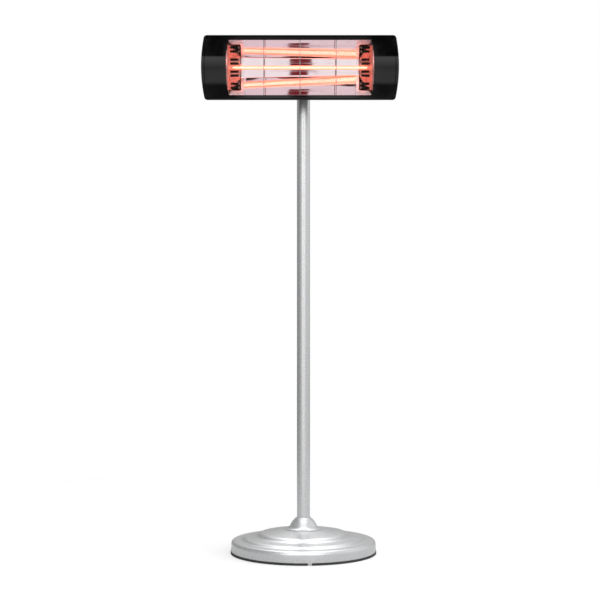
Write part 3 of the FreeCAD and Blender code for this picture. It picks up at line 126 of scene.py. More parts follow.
def new_group(name, inputs, outputs):
    """Start a shader node group with named inputs and outputs."""
    tree = bpy.data.node_groups.new(name, "ShaderNodeTree")
    for label, kind, value in inputs:
        socket = tree.interface.new_socket(name=label, in_out="INPUT", socket_type=kind)
        socket.default_value = value
    for label in outputs:
        tree.interface.new_socket(name=label, in_out="OUTPUT", socket_type=FLOAT)
    return tree, tree.nodes.new("NodeGroupInput").outputs, tree.nodes.new("NodeGroupOutput").inputs


def make_grain_group():
    """Fine grain of paint, plastic or rubber: a mask and a height, in two sizes of speck."""
    coarse_share = 0.35
    gain = 4.0
    middle = 0.5
    tree, given, result = new_group(
        "fine_grain",
        [("Place", VECTOR, (0, 0, 0)), ("Scale", FLOAT, 1000.0), ("Contrast", FLOAT, 1.0)],
        ["Mask", "Height"],
    )
    place = given["Place"]
    coarser = product(tree, given["Scale"], coarse_share)
    fine = add_node(tree, "ShaderNodeTexNoise", Vector=place, Scale=given["Scale"], Detail=3.0)
    coarse = add_node(tree, "ShaderNodeTexNoise", Vector=place, Scale=coarser, Detail=2.0)
    both = product(tree, fine.outputs["Fac"], coarse.outputs["Fac"])
    level = math_node(tree, "SUBTRACT", product(tree, both, gain), middle)
    away = product(tree, math_node(tree, "SUBTRACT", level, middle), given["Contrast"])
    tree.links.new(math_node(tree, "ADD", away, middle, clamp=True), result["Mask"])
    tree.links.new(both, result["Height"])
    return tree


def make_smudge_group():
    """Slow, cloudy change over a surface, as handling and dust leave it."""
    cloudy = (0.42, 0.72)
    tree, given, result = new_group(
        "soft_smudge",
        [("Place", VECTOR, (0, 0, 0)), ("Scale", FLOAT, 12.0), ("Amount", FLOAT, 1.0)],
        ["Mask"],
    )
    cloud = add_node(
        tree,
        "ShaderNodeTexNoise",
        Vector=given["Place"],
        Scale=given["Scale"],
        Detail=5.0,
        Roughness=0.62,
    )
    mask = remap(tree, cloud.outputs["Fac"], *cloudy)
    tree.links.new(product(tree, mask, given["Amount"]), result["Mask"])
    return tree


def make_streak_group():
    """Long fine lines that rolling, drawing or turning leaves in metal."""
    streaky = (0.3, 0.7)
    tree, given, result = new_group(
        "drawn_streaks",
        [("Place", VECTOR, (0, 0, 0)), ("Stretch", VECTOR, (4, 900, 900))],
        ["Mask", "Height"],
    )
    stretched = tree.nodes.new("ShaderNodeVectorMath")
    stretched.operation = "MULTIPLY"
    tree.links.new(given["Place"], stretched.inputs[0])
    tree.links.new(given["Stretch"], stretched.inputs[1])
    drawn_out = stretched.outputs["Vector"]
    lines = add_node(tree, "ShaderNodeTexNoise", Vector=drawn_out, Scale=1.0, Detail=4.0)
    tree.links.new(remap(tree, lines.outputs["Fac"], *streaky), result["Mask"])
    tree.links.new(lines.outputs["Fac"], result["Height"])
    return tree


GRAIN = make_grain_group()
SMUDGE = make_smudge_group()
STREAKS = make_streak_group()


# Finishes
class Finish:
    """A material in the making: its node tree, its Principled shader and its Object coordinates."""

    def __init__(self, name, **plain):
        self.material = bpy.data.materials.new(name)
        self.material.use_nodes = True
        self.tree = self.material.node_tree
        self.shader = next(item for item in self.tree.nodes if item.type == "BSDF_PRINCIPLED")
        self.place = self.tree.nodes.new("ShaderNodeTexCoord").outputs["Object"]
        for label, value in plain.items():
            self.shader.inputs[label.replace("_", " ")].default_value = value

    def use(self, group, **values):
        """Place a node group on the surface and return its outputs."""
        made = self.tree.nodes.new("ShaderNodeGroup")
        made.node_tree = group
        self.tree.links.new(self.place, made.inputs["Place"])
        for label, value in values.items():
            made.inputs[label].default_value = value
        return made.outputs

    def colour(self, mask, first, second, socket="Base Color"):
        """Let a colour of the shader change between two by a mask."""
        mixed = blend_colours(self.tree, mask, (*first, 1), (*second, 1))
        self.tree.links.new(mixed, self.shader.inputs[socket])

    def rough(self, mask, low, high):
        """Let the roughness change between two values by a mask."""
        varied = remap(self.tree, mask, 0, 1, low, high)
        self.tree.links.new(varied, self.shader.inputs["Roughness"])

    def bump(self, height, strength, distance):
        """Raise the surface slightly by a height."""
        made = add_node(
            self.tree, "ShaderNodeBump", Height=height, Strength=strength, Distance=distance
        )
        self.tree.links.new(made.outputs["Normal"], self.shader.inputs["Normal"])


def grained(name, colours, rough, grain, bump, cloud=None, **plain):
    """Coated, cast or moulded surface, whose colour follows its grain or a slow cloud."""
    made = Finish(name, **plain)
    specks = made.use(GRAIN, **grain)
    tint = made.use(SMUDGE, **cloud) if cloud else specks
    made.colour(tint["Mask"], *colours)
    made.rough(specks["Mask"], *rough)
    made.bump(specks["Height"], **bump)
    return made.material


def drawn(name, colours, rough, stretch, bump=None, cloud=None, **plain):
    """Rolled, drawn or turned metal, whose colour follows its fine lines or a slow cloud."""
    made = Finish(name, **plain)
    lines = made.use(STREAKS, Stretch=stretch)
    tint = made.use(SMUDGE, **cloud) if cloud else lines
    made.colour(tint["Mask"], *colours)
    made.rough(lines["Mask"], *rough)
    if bump:
        made.bump(lines["Height"], **bump)
    return made.material


def moulded(name, dark, light, low, high):
    """Moulded plastic, ceramic or insulation, from two close colours."""
    return grained(
        name,
        (dark, light),
        (low, high),
        grain={"Scale": 1100.0, "Contrast": 1.0},
        bump={"strength": 0.2, "distance": 0.0003},
        cloud={"Scale": 30.0, "Amount": 0.7},
        Metallic=0.0,
        IOR=1.5,
    )


def end_sheet(name, first, second, low, high):
    """Sheet at the ends of the trough, duller than its middle, its two colours changing in a slow
    cloud.
    """
    cloud = {"Scale": 40.0, "Amount": 0.8}
    return drawn(name, (first, second), (low, high), (3, 420, 420), cloud=cloud, Metallic=1.0)


def silver_paint():
    """Satin silver paint with fine metal flake."""
    made = Finish("silver_paint", Metallic=0.8, IOR=1.5)
    flake = made.use(GRAIN, Scale=1500.0, Contrast=0.7)
    cloud = made.use(SMUDGE, Scale=9.0, Amount=0.3)
    made.colour(flake["Mask"], (0.595, 0.60, 0.61), (0.645, 0.65, 0.655))
    made.rough(math_node(made.tree, "ADD", flake["Mask"], cloud["Mask"]), low=0.24, high=0.31)
    made.bump(flake["Height"], strength=0.015, distance=0.0002)
    return made.material


def gloss_black():
    """Deep glossy black paint with a trace of dust and handling."""
    made = Finish("gloss_black", Metallic=0.0, IOR=1.5)
    peel = made.use(GRAIN, Scale=260.0, Contrast=0.6)
    cloud = made.use(SMUDGE, Scale=16.0, Amount=0.8)
    made.colour(cloud["Mask"], (0.0016, 0.0016, 0.0019), (0.0032, 0.0032, 0.0036))
    made.rough(cloud["Mask"], low=0.03, high=0.08)
    made.bump(peel["Height"], strength=0.012, distance=0.0002)
    return made.material


def polished_aluminium():
    """Polished sheet: mirror-bright between fine hazy rolling lines, with a faint lilac cast."""
    sparseness = 7.0
    made = Finish("polished_aluminium", Metallic=1.0)
    lines = made.use(STREAKS, Stretch=(3, 420, 420))
    cloud = made.use(SMUDGE, Scale=14.0, Amount=0.6)
    made.colour(cloud["Mask"], (0.86, 0.74, 0.77), (0.81, 0.66, 0.69))
    made.rough(math_node(made.tree, "POWER", lines["Mask"], sparseness), low=0.015, high=0.3)
    return made.material


def lit_quartz():
    """Quartz with a faint amber tint, filled with the glow of the filament."""
    made = Finish(
        "lit_quartz",
        Metallic=0.0,
        IOR=1.46,
        Roughness=0.12,
        Transmission_Weight=0.9,
        Emission_Strength=0.34,
    )
    cloud = made.use(SMUDGE, Scale=30.0, Amount=1.0)
    made.colour(cloud["Mask"], (1.0, 0.74, 0.63), (1.0, 0.68, 0.56))
    made.colour(cloud["Mask"], (1.0, 0.22, 0.10), (1.0, 0.27, 0.14), "Emission Color")
    return made.material


def lit_tungsten():
    """Filament at its working heat."""
    made = Finish("lit_tungsten", Metallic=1.0, Emission_Strength=5.2)
    grain = made.use(GRAIN, Scale=900.0, Contrast=1.0)
    made.colour(grain["Mask"], (0.55, 0.30, 0.16), (0.70, 0.42, 0.24))
    made.colour(grain["Mask"], (1.0, 0.47, 0.44), (1.0, 0.57, 0.54), "Emission Color")
    made.rough(grain["Mask"], low=0.4, high=0.6)
    return made.material


FINISHES = {
    "silver_paint": silver_paint(),
    "black_gloss": gloss_black(),
    "polished_aluminium": polished_aluminium(),
    "quartz": lit_quartz(),
    "tungsten": lit_tungsten(),
    "black_steel": grained(
        "satin_black",
        ((0.010, 0.010, 0.011), (0.022, 0.022, 0.023)),
        (0.36, 0.52),
        grain={"Scale": 900.0, "Contrast": 1.2},
        bump={"strength": 0.25, "distance": 0.0003},
        Metallic=0.0,
        IOR=1.5,
    ),
    "cast_aluminium": grained(
        "cast_aluminium",
        ((0.42, 0.425, 0.435), (0.58, 0.585, 0.59)),
        (0.42, 0.6),
        grain={"Scale": 700.0, "Contrast": 1.3},
        bump={"strength": 0.35, "distance": 0.0004},
        Metallic=1.0,
    ),
    "black_rubber": grained(
        "black_rubber",
        ((0.020, 0.020, 0.021), (0.045, 0.045, 0.046)),
        (0.6, 0.82),
        grain={"Scale": 1200.0, "Contrast": 1.0},
        bump={"strength": 0.2, "distance": 0.0003},
        cloud={"Scale": 25.0, "Amount": 0.8},
        Metallic=0.0,
        IOR=1.5,
    ),
    "concrete": grained(
        "rough_concrete",
        ((0.30, 0.29, 0.275), (0.46, 0.45, 0.43)),
        (0.78, 0.95),
        grain={"Scale": 260.0, "Contrast": 1.5},
        bump={"strength": 0.6, "distance": 0.0015},
        cloud={"Scale": 18.0, "Amount": 1.0},
        Metallic=0.0,
    ),
    "zinc_steel": grained(
        "zinc_plate",
        ((0.56, 0.565, 0.58), (0.62, 0.60, 0.53)),
        (0.26, 0.42),
        grain={"Scale": 1500.0, "Contrast": 1.0},
        bump={"strength": 0.1, "distance": 0.0002},
        cloud={"Scale": 70.0, "Amount": 1.0},
        Metallic=1.0,
    ),
    "galvanised_sheet": drawn(
        "bright_sheet",
        ((0.44, 0.445, 0.45), (0.56, 0.565, 0.57)),
        (0.3, 0.45),
        stretch=(6, 700, 700),
        bump={"strength": 0.08, "distance": 0.0002},
        Metallic=1.0,
    ),
    "bright_wire": drawn(
        "bright_wire",
        ((0.55, 0.54, 0.54), (0.40, 0.33, 0.28)),
        (0.16, 0.3),
        stretch=(900, 900, 5),
        cloud={"Scale": 40.0, "Amount": 1.0},
        Metallic=1.0,
    ),
    "brass": drawn(
        "plain_brass",
        ((0.62, 0.44, 0.18), (0.74, 0.56, 0.27)),
        (0.24, 0.4),
        stretch=(500, 500, 500),
        Metallic=1.0,
    ),
}
FINISHES["spring_steel"] = FINISHES["galvanised_sheet"]
for name, dark, light, low, high in (
    ("white_ceramic", (0.74, 0.72, 0.67), (0.84, 0.82, 0.77), 0.5, 0.7),
    ("black_plastic", (0.012, 0.012, 0.013), (0.024, 0.024, 0.025), 0.4, 0.58),
    ("white_nylon", (0.70, 0.69, 0.65), (0.80, 0.79, 0.75), 0.42, 0.58),
    ("brown_insulation", (0.13, 0.055, 0.025), (0.19, 0.085, 0.04), 0.5, 0.65),
    ("blue_insulation", (0.03, 0.09, 0.34), (0.05, 0.13, 0.44), 0.5, 0.65),
    ("green_insulation", (0.14, 0.36, 0.05), (0.42, 0.50, 0.06), 0.5, 0.65),
):
    FINISHES[name] = moulded(name, dark, light, low, high)

# Sheet round the lamp: the ends of the trough rougher, and sheets coloured with painted glow of the
# lamp and with painted shade
HAZED = end_sheet("hazed_sheet", (0.86, 0.74, 0.77), (0.81, 0.66, 0.69), 0.2, 0.3)
# The red of the lips and the cheeks is painted glow of the lamp
GLOW_PAINTED_LIP_SHEET = end_sheet("glow_painted_lip_sheet", (0.66, 0.30, 0.27), (0.52, 0.22, 0.20), 0.2, 0.3)
GLOW_PAINTED_CHEEK_SHEET = end_sheet("glow_painted_cheek_sheet", (0.84, 0.42, 0.36), (0.62, 0.30, 0.25), 0.22, 0.36)
# Near-black sheet for the plate and lamp holders inside the casing: painted shade
SHADE_PAINTED_SHEET = drawn(
    "shade_painted_sheet",
    ((0.035, 0.028, 0.025), (0.075, 0.055, 0.045)),
    (0.55, 0.75),
    stretch=(6, 500, 500),
    bump={"strength": 0.08, "distance": 0.0002},
    cloud={"Scale": 22.0, "Amount": 1.0},
    Metallic=0.5,
    IOR=1.5,
)
# Nodes given these sheets: the cheeks with painted glow of the lamp, the plate and lamp holders
# with painted shade
GLOW_AND_SHADE_PAINTED = {
    "chassis_plate": SHADE_PAINTED_SHEET,
    "left_lamp_holder": SHADE_PAINTED_SHEET,
    "right_lamp_holder": SHADE_PAINTED_SHEET,
    "left_cheek": GLOW_PAINTED_CHEEK_SHEET,
    "right_cheek": GLOW_PAINTED_CHEEK_SHEET,
}

SLOT_OF = {entry["node"]: entry["material_slot"] for entry in frame["record"]["subparts"]}
for node, slot in SLOT_OF.items():
    nodes[node].data.materials.clear()
    nodes[node].data.materials.append(GLOW_AND_SHADE_PAINTED.get(node, FINISHES[slot]))


# Pieces
def new_piece(name, mesh, body, slot, replaced=()):
    """Show a mesh as a piece that rides on a body and stands for the nodes it replaces."""
    mesh.materials.clear()
    mesh.materials.append(FINISHES[slot])
    piece = bpy.data.objects.new(name, mesh)
    bpy.context.scene.collection.objects.link(piece)
    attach(piece, body)
    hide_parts(*replaced)
    return piece


def mesh_of(shape, name):
    """Turn an edited shape into a smooth mesh."""
    mesh = bpy.data.meshes.new(name)
    shape.to_mesh(mesh)
    shape.free()
    mesh.shade_smooth()
    return mesh


def turn_outwards(shape):
    """Make the faces of a shape point outwards."""
    bmesh.ops.recalc_face_normals(shape, faces=shape.faces)


def faces_back(mesh):
    """Tell whether the faces of a sheet point away from the window."""
    return sum(face.normal.y * face.area for face in mesh.polygons) > 0


def thicken(piece, thickness, in_front):
    """Give a sheet its thickness, in front of its faces or behind them."""
    sheet = piece.modifiers.new("sheet", "SOLIDIFY")
    sheet.thickness = thickness
    sheet.offset = 1.0 if in_front else -1.0


def spread(start, end, steps):
    """Return evenly spaced values from start to end, without the start."""
    return [start + (end - start) * (step + 1) / steps for step in range(steps)]


def eased(value, low, high):
    """Return how far a value is from low to high, from 0 to 1, with soft ends."""
    share = min(1.0, max(0.0, (value - low) / (high - low)))
    return share * share * (3 - 2 * share)


def fold(before, corner, after, steps):
    """Return points round a corner, between the point before it and the point after it."""
    points = []
    for share in spread(0, 1, steps - 1)[:-1]:
        points.append(before.lerp(corner, share).lerp(corner.lerp(after, share), share))
    return points


def circle(radius, steps):
    """Return points round a circle."""
    turns = [2 * math.pi * step / steps for step in range(steps)]
    return [(radius * math.cos(turn), radius * math.sin(turn)) for turn in turns]


# Polished trough: depth and half height of its mouth, depth of its floor, and the floor's half
# heights above and below the lamp at either end
TROUGH_SHEET = 1.2 * MM
TROUGH_HALF_LENGTH = 186 * MM
MOUTH = (6 * MM, 71 * MM)
FLANGE = 3.5 * MM
FLOOR_DEPTH = 49 * MM
FLOOR_LEFT = (24.7 * MM, 25.6 * MM)
FLOOR_RIGHT = (21.3 * MM, 18.3 * MM)
BEND = 0.8 * MM
# Curvature of the walls at either end, per metre
BOW_LEFT = 8.2
BOW_RIGHT = 12.5
# Notches for the cheeks, and where the sheet is hazed
NOTCH_RISE = 56.7 * MM
NOTCH_START = 150.8 * MM
HAZE_START = 142 * MM
# Ripple: waves along and up in radians per metre, with a start, and how it grows to the right
RIPPLE = 0.06 * MM
RIPPLE_WAVES = ((75, 21, 0), (31, 47, 1.3))
RIPPLE_AT_LEFT = 0.1
RIPPLE_GROWS = (0.5, 0.85)
RIPPLE_FREE_RIM = 10 * MM
# Steps of its mesh
MARGIN_STEPS = 8
WALL_STEPS = 20
BEND_STEPS = 4
FLOOR_STEPS = 16
NOTCH_STEPS = 8
LENGTH_STEPS = 150
TINY = 1e-6


def bowed_wall(floor, bow):
    """Return points of a wall from the mouth almost to its fold at the floor, bowed outwards."""
    depth, mouth = MOUTH
    heights = [mouth]
    heights += spread(mouth, NOTCH_RISE, MARGIN_STEPS)
    heights += spread(NOTCH_RISE, floor + BEND, WALL_STEPS)
    points = []
    for height in heights:
        straight = depth + (FLOOR_DEPTH - depth) * (mouth - height) / (mouth - floor)
        points.append(Vector((straight + bow / 2 * (height - floor) * (mouth - height), height)))
    return points


def trough_profile(floors, bow):
    """Return depth and height of points across the trough, from its upper to its lower flange."""
    halves = []
    for floor in floors:
        lip = Vector((MOUTH[0], MOUTH[1] + FLANGE))
        wall = bowed_wall(floor, bow)
        corner = Vector((FLOOR_DEPTH, floor))
        edge = Vector((FLOOR_DEPTH, floor - BEND))
        halves.append([lip] + wall + fold(wall[-1], corner, edge, BEND_STEPS) + [edge])
    upper, lower = halves
    lower = [Vector((depth, -height)) for depth, height in reversed(lower)]
    heights = spread(upper[-1].y, lower[0].y, FLOOR_STEPS)
    return upper + [Vector((FLOOR_DEPTH, height)) for height in heights] + lower[1:]


def ripple(x, depth, height, along):
    """Return how far the sheet stands off its true shape at a spot."""
    wave = math.prod(math.sin(x * run + height * rise + start) for run, rise, start in RIPPLE_WAVES)
    inside = eased(depth, MOUTH[0], MOUTH[0] + RIPPLE_FREE_RIM)
    return RIPPLE * wave * inside * (RIPPLE_AT_LEFT + eased(along, *RIPPLE_GROWS))


def make_trough():
    """Folded sheet, notched for the cheeks, that narrows to the right and ripples a little."""
    ends = [-TROUGH_HALF_LENGTH] + spread(-TROUGH_HALF_LENGTH, -NOTCH_START, NOTCH_STEPS)
    stations = ends + spread(-NOTCH_START, NOTCH_START, LENGTH_STEPS)
    stations += [-end for end in reversed(ends[:-1])]
    shape = bmesh.new()
    rows = []
    for x in stations:
        along = min(1.0, max(0.0, (x + NOTCH_START) / (2 * NOTCH_START)))
        floors = [left + (right - left) * along for left, right in zip(FLOOR_LEFT, FLOOR_RIGHT)]
        bow = BOW_LEFT + (BOW_RIGHT - BOW_LEFT) * along
        row = []
        for depth, height in trough_profile(floors, bow):
            row.append(shape.verts.new((x, depth + ripple(x, depth, height, along), height)))
        rows.append(row)
    margin = MARGIN_STEPS + 1
    for one, two, x in zip(rows, rows[1:], stations):
        notched = not -NOTCH_START - TINY < x < NOTCH_START - TINY
        for index in range(len(one) - 1):
            if notched and margin <= index < len(one) - 1 - margin:
                continue
            shape.faces.new((one[index], two[index], two[index + 1], one[index + 1]))
    loose = [vert for vert in shape.verts if not vert.link_faces]
    bmesh.ops.delete(shape, geom=loose, context="VERTS")
    turn_outwards(shape)
    mesh = mesh_of(shape, "polished_trough")
    mesh.transform(HEAD_FRAME)
    piece = new_piece("polished_trough", mesh, "head", "polished_aluminium", ["reflector"])
    mesh.materials.append(HAZED)
    for face in mesh.polygons:
        face.material_index = int(abs(face.center.x - HEAD_PLACE.x) > HAZE_START)
    thicken(piece, TROUGH_SHEET, faces_back(mesh))


make_trough()


# Spun base cover, in millimetres: radius, height and how far the rounding of each corner reaches
COVER_LINE = (
    (20.0, 62.5, 0),
    (48.0, 62.5, 8),
    (112.0, 52.6, 5.5),
    (122.0, 44.6, 5.5),
    (153.0, 40.4, 4.5),
    (161.0, 34.9, 4.5),
    (188.0, 34.0, 10),
    (188.0, 5.0, 0),
    (188.0, 2.65, 0),
)
COVER_SHEET = 2 * MM
COVER_SEGMENTS = 192
COVER_ROUND_STEPS = 9


def rounded(line):
    """Return the points of a line whose corners are rounded."""
    spots = [Vector((radius * MM, height * MM)) for radius, height, _ in line]
    points = [spots[0]]
    for before, corner, after, (_, _, reach) in zip(spots, spots[1:], spots[2:], line[1:]):
        if not reach:
            points.append(corner)
            continue
        start = corner + (before - corner).normalized() * reach * MM
        end = corner + (after - corner).normalized() * reach * MM
        points += [start] + fold(start, corner, end, COVER_ROUND_STEPS) + [end]
    return points + [spots[-1]]


def make_cover():
    """Spun steel cover with its two rolled steps."""
    shape = bmesh.new()
    rings = []
    for radius, height in rounded(COVER_LINE):
        spots = circle(radius, COVER_SEGMENTS)
        rings.append([shape.verts.new((x, y, height)) for x, y in spots])
    for one, two in zip(rings, rings[1:]):
        for index in range(COVER_SEGMENTS):
            shape.faces.new((one[index - 1], two[index - 1], two[index], one[index]))
    mesh = mesh_of(shape, "spun_cover")
    piece = new_piece("spun_cover", mesh, "stand", "silver_paint", ["base_cover"])
    thicken(piece, COVER_SHEET, False)


make_cover()


# Lips of the cheeks, in millimetres: how far across and how deep their line runs
LIP_LINE = ((182.2, 7.6), (183.2, 6.7), (184.4, 6.1), (185.8, 5.9), (196.0, 5.9))
LIP_RISE = 57.5 * MM
LIP_SHEET = 0.8 * MM


def make_cheek_lips():
    """Lips folded outwards from both cheeks, under the sides of the window."""
    shape = bmesh.new()
    for side in (-1, 1):
        low, high = [
            [shape.verts.new((side * across * MM, depth * MM, z)) for across, depth in LIP_LINE]
            for z in (-LIP_RISE, LIP_RISE)
        ]
        for index in range(len(LIP_LINE) - 1):
            corners = [low[index], low[index + 1], high[index + 1], high[index]]
            shape.faces.new(corners if side < 0 else corners[::-1])
    mesh = mesh_of(shape, "cheek_lips")
    mesh.transform(HEAD_FRAME)
    piece = new_piece("cheek_lips", mesh, "head", SLOT_OF["left_cheek"])
    # The lips' red is painted glow of the lamp
    mesh.materials[0] = GLOW_PAINTED_LIP_SHEET
    thicken(piece, LIP_SHEET, faces_back(mesh))


make_cheek_lips()


# Trees of geometry nodes
def tree_with_inputs(name, inputs):
    """Start a geometry node tree with named inputs and one geometry output."""
    tree = bpy.data.node_groups.new(name, "GeometryNodeTree")
    for label, kind, value in inputs:
        socket = tree.interface.new_socket(name=label, in_out="INPUT", socket_type=kind)
        if value is not None:
            socket.default_value = value
    tree.interface.new_socket(name="Geometry", in_out="OUTPUT", socket_type=GEOMETRY)
    return tree, tree.nodes.new("NodeGroupInput").outputs


def moved(tree, geometry, **values):
    """Move, turn or scale geometry and return it."""
    made = add_node(tree, "GeometryNodeTransform", Geometry=geometry, **values)
    return made.outputs["Geometry"]


def joined(tree, parts):
    """Join parts into one geometry and return it."""
    made = tree.nodes.new("GeometryNodeJoinGeometry")
    for part in parts:
        tree.links.new(part, made.inputs["Geometry"])
    return made.outputs["Geometry"]


def finish_tree(tree, geometry, finish):
    """End a geometry node tree in whole meshes with a finish."""
    whole = add_node(tree, "GeometryNodeRealizeInstances", Geometry=geometry).outputs["Geometry"]
    dressed = add_node(tree, "GeometryNodeSetMaterial", Geometry=whole, Material=finish)
    result = tree.nodes.new("NodeGroupOutput").inputs["Geometry"]
    tree.links.new(dressed.outputs["Geometry"], result)
    return tree


def grown_mesh(name, tree, start=None, **values):
    """Run a geometry node tree with the given inputs and return its result as a plain mesh."""
    seed = bpy.data.objects.new(f"{name}_seed", start or bpy.data.meshes.new(f"{name}_seed"))
    bpy.context.scene.collection.objects.link(seed)
    modifier = seed.modifiers.new("grown", "NODES")
    modifier.node_group = tree
    sockets = [item for item in tree.interface.items_tree if item.item_type == "SOCKET"]
    keys = {socket.name: socket.identifier for socket in sockets if socket.in_out == "INPUT"}
    for label, value in values.items():
        modifier[keys[label.replace("_", " ")]] = value
    bpy.context.view_layer.update()
    evaluated = seed.evaluated_get(bpy.context.evaluated_depsgraph_get())
    mesh = bpy.data.meshes.new_from_object(evaluated)
    mesh.name = name
    seed.modifiers.remove(modifier)
    bpy.data.objects.remove(seed)
    mesh.shade_smooth()
    return mesh


# Wound filament
def make_coil_tree():
    """Geometry nodes for a helix along X with straight ends."""
    tree, given = tree_with_inputs(
        "wound_filament",
        (
            ("Turns", FLOAT, 96.0),
            ("Coil Radius", FLOAT, 1.9 * MM),
            ("Wire Radius", FLOAT, 0.4 * MM),
            ("Half Length", FLOAT, 178 * MM),
            ("Tail", FLOAT, 6 * MM),
            ("Finish", MATERIAL, None),
        ),
    )
    radius = given["Coil Radius"]
    half = given["Half Length"]
    spiral = add_node(
        tree,
        "GeometryNodeCurveSpiral",
        Resolution=20,
        Rotations=given["Turns"],
        Start_Radius=radius,
        End_Radius=radius,
        Height=product(tree, half, 2.0),
    )
    foot = vector_node(tree, Z=product(tree, half, -1.0))
    curves = [moved(tree, spiral.outputs["Curve"], Translation=foot)]
    for side in (-1.0, 1.0):
        near = product(tree, half, side)
        far = math_node(tree, "ADD", near, product(tree, given["Tail"], side))
        start = vector_node(tree, X=radius, Z=near)
        end = vector_node(tree, Z=far)
        line = add_node(tree, "GeometryNodeCurvePrimitiveLine", Start=start, End=end)
        curves.append(line.outputs["Curve"])
    wire = given["Wire Radius"]
    section = add_node(tree, "GeometryNodeCurvePrimitiveCircle", Resolution=8, Radius=wire)
    tube = add_node(
        tree,
        "GeometryNodeCurveToMesh",
        Curve=joined(tree, curves),
        Profile_Curve=section.outputs["Curve"],
        Fill_Caps=True,
    )
    lying = moved(tree, tube.outputs["Mesh"], Rotation=(0, math.radians(90), 0))
    return finish_tree(tree, lying, given["Finish"])


def make_filament():
    """Glowing helix along the middle of the quartz tube."""
    mesh = grown_mesh("lit_filament", make_coil_tree(), Finish=FINISHES["tungsten"])
    mesh.transform(HEAD_FRAME @ Matrix.Translation((0, LAMP_DEPTH, 0)))
    new_piece("lit_filament", mesh, "head", "tungsten", ["lamp_coil"])


make_filament()

# Screws on the back of the head: the recess as a share of the head's radius or height, the block
# that cuts off the lower half of the dome likewise, and the turn from one screw to the next
RECESS_WIDTH = 0.24
RECESS_DEPTH = 1.2
LOWER_BLOCK = 3.0
SCREW_TURN = 0.7


def make_screw_tree():
    """Geometry nodes for domed, cross-recessed screws on points, each turned its own way."""
    tree, given = tree_with_inputs(
        "cross_screws",
        (
            ("Points", GEOMETRY, None),
            ("Head Radius", FLOAT, 4 * MM),
            ("Head Height", FLOAT, 2.6 * MM),
            ("Shank Radius", FLOAT, 2 * MM),
            ("Shank Length", FLOAT, 10 * MM),
            ("Recess Share", FLOAT, 1.1),
            ("Finish", MATERIAL, None),
        ),
    )
    radius = given["Head Radius"]
    height = given["Head Height"]
    ball = add_node(tree, "GeometryNodeMeshUVSphere", Segments=32, Rings=20, Radius=1.0)
    size = vector_node(tree, X=radius, Y=radius, Z=height)
    dome = moved(tree, ball.outputs["Mesh"], Scale=size)
    cut = tree.nodes.new("GeometryNodeMeshBoolean")
    cut.operation = "DIFFERENCE"
    tree.links.new(dome, cut.inputs["Mesh 1"])
    wide = product(tree, radius, LOWER_BLOCK)
    long = product(tree, radius, given["Recess Share"])
    thin = product(tree, radius, RECESS_WIDTH)
    deep = product(tree, height, RECESS_DEPTH)
    drop = vector_node(tree, Z=product(tree, wide, -0.5))
    lift = vector_node(tree, Z=height)
    lower_half = (wide, wide, wide, drop)
    cross = ((long, thin, deep, lift), (thin, long, deep, lift))
    for x, y, z, place in (lower_half, *cross):
        block = add_node(tree, "GeometryNodeMeshCube", Size=vector_node(tree, X=x, Y=y, Z=z))
        tree.links.new(moved(tree, block.outputs["Mesh"], Translation=place), cut.inputs["Mesh 2"])
    length = given["Shank Length"]
    rod = add_node(
        tree, "GeometryNodeMeshCylinder", Vertices=24, Radius=given["Shank Radius"], Depth=length
    )
    sunk = vector_node(tree, Z=product(tree, length, -0.5))
    shank = moved(tree, rod.outputs["Mesh"], Translation=sunk)
    index = tree.nodes.new("GeometryNodeInputIndex").outputs["Index"]
    stood = add_node(
        tree,
        "GeometryNodeInstanceOnPoints",
        Points=given["Points"],
        Instance=joined(tree, [cut.outputs["Mesh"], shank]),
        Rotation=vector_node(tree, Z=product(tree, index, SCREW_TURN)),
    )
    return finish_tree(tree, stood.outputs["Instances"], given["Finish"])


SCREWS = make_screw_tree()


def make_screws(node, name, depth, across, up, **sizes):
    """Screws whose heads sit on the back of the head, at a depth and in columns and rows."""
    slot = SLOT_OF[node]
    points = bpy.data.meshes.new(f"{name}_points")
    points.from_pydata([(x * MM, -z * MM, depth * MM) for x in across for z in up], [], [])
    mesh = grown_mesh(name, SCREWS, points, Finish=FINISHES[slot], **sizes)
    mesh.transform(TO_THE_BACK)
    mesh.set_sharp_from_angle(angle=CREASE)
    new_piece(name, mesh, "head", slot, [node])


make_screws(
    "casing_screws",
    "casing_cross_screws",
    depth=85,
    across=(-194, 194),
    up=(-36, 36),
    Head_Radius=3.9 * MM,
    Head_Height=2.6 * MM,
    Shank_Radius=1.95 * MM,
    Shank_Length=35.8 * MM,
)
make_screws(
    "bracket_screws",
    "bracket_cross_screws",
    depth=88,
    across=(-32, 32),
    up=(-34, 30),
    Head_Radius=4.6 * MM,
    Head_Height=3 * MM,
    Shank_Radius=2.5 * MM,
    Shank_Length=10 * MM,
)

# Grip ribs of the gland nut
RIBS_DEPTH = 96.5 * MM


def make_rib_tree():
    """Geometry nodes for round ribs along Z, set in a ring."""
    tree, given = tree_with_inputs(
        "grip_ribs",
        (
            ("Count", INTEGER, 24),
            ("Ring Radius", FLOAT, 11 * MM),
            ("Rib Radius", FLOAT, 0.75 * MM),
            ("Rib Length", FLOAT, 9 * MM),
            ("Finish", MATERIAL, None),
        ),
    )
    ring = add_node(
        tree, "GeometryNodeMeshCircle", Vertices=given["Count"], Radius=given["Ring Radius"]
    )
    ball = add_node(tree, "GeometryNodeMeshUVSphere", Segments=10, Rings=8, Radius=1.0)
    thick = given["Rib Radius"]
    size = vector_node(tree, X=thick, Y=thick, Z=product(tree, given["Rib Length"], 0.5))
    stood = add_node(
        tree,
        "GeometryNodeInstanceOnPoints",
        Points=ring.outputs["Mesh"],
        Instance=moved(tree, ball.outputs["Mesh"], Scale=size),
    )
    return finish_tree(tree, stood.outputs["Instances"], given["Finish"])


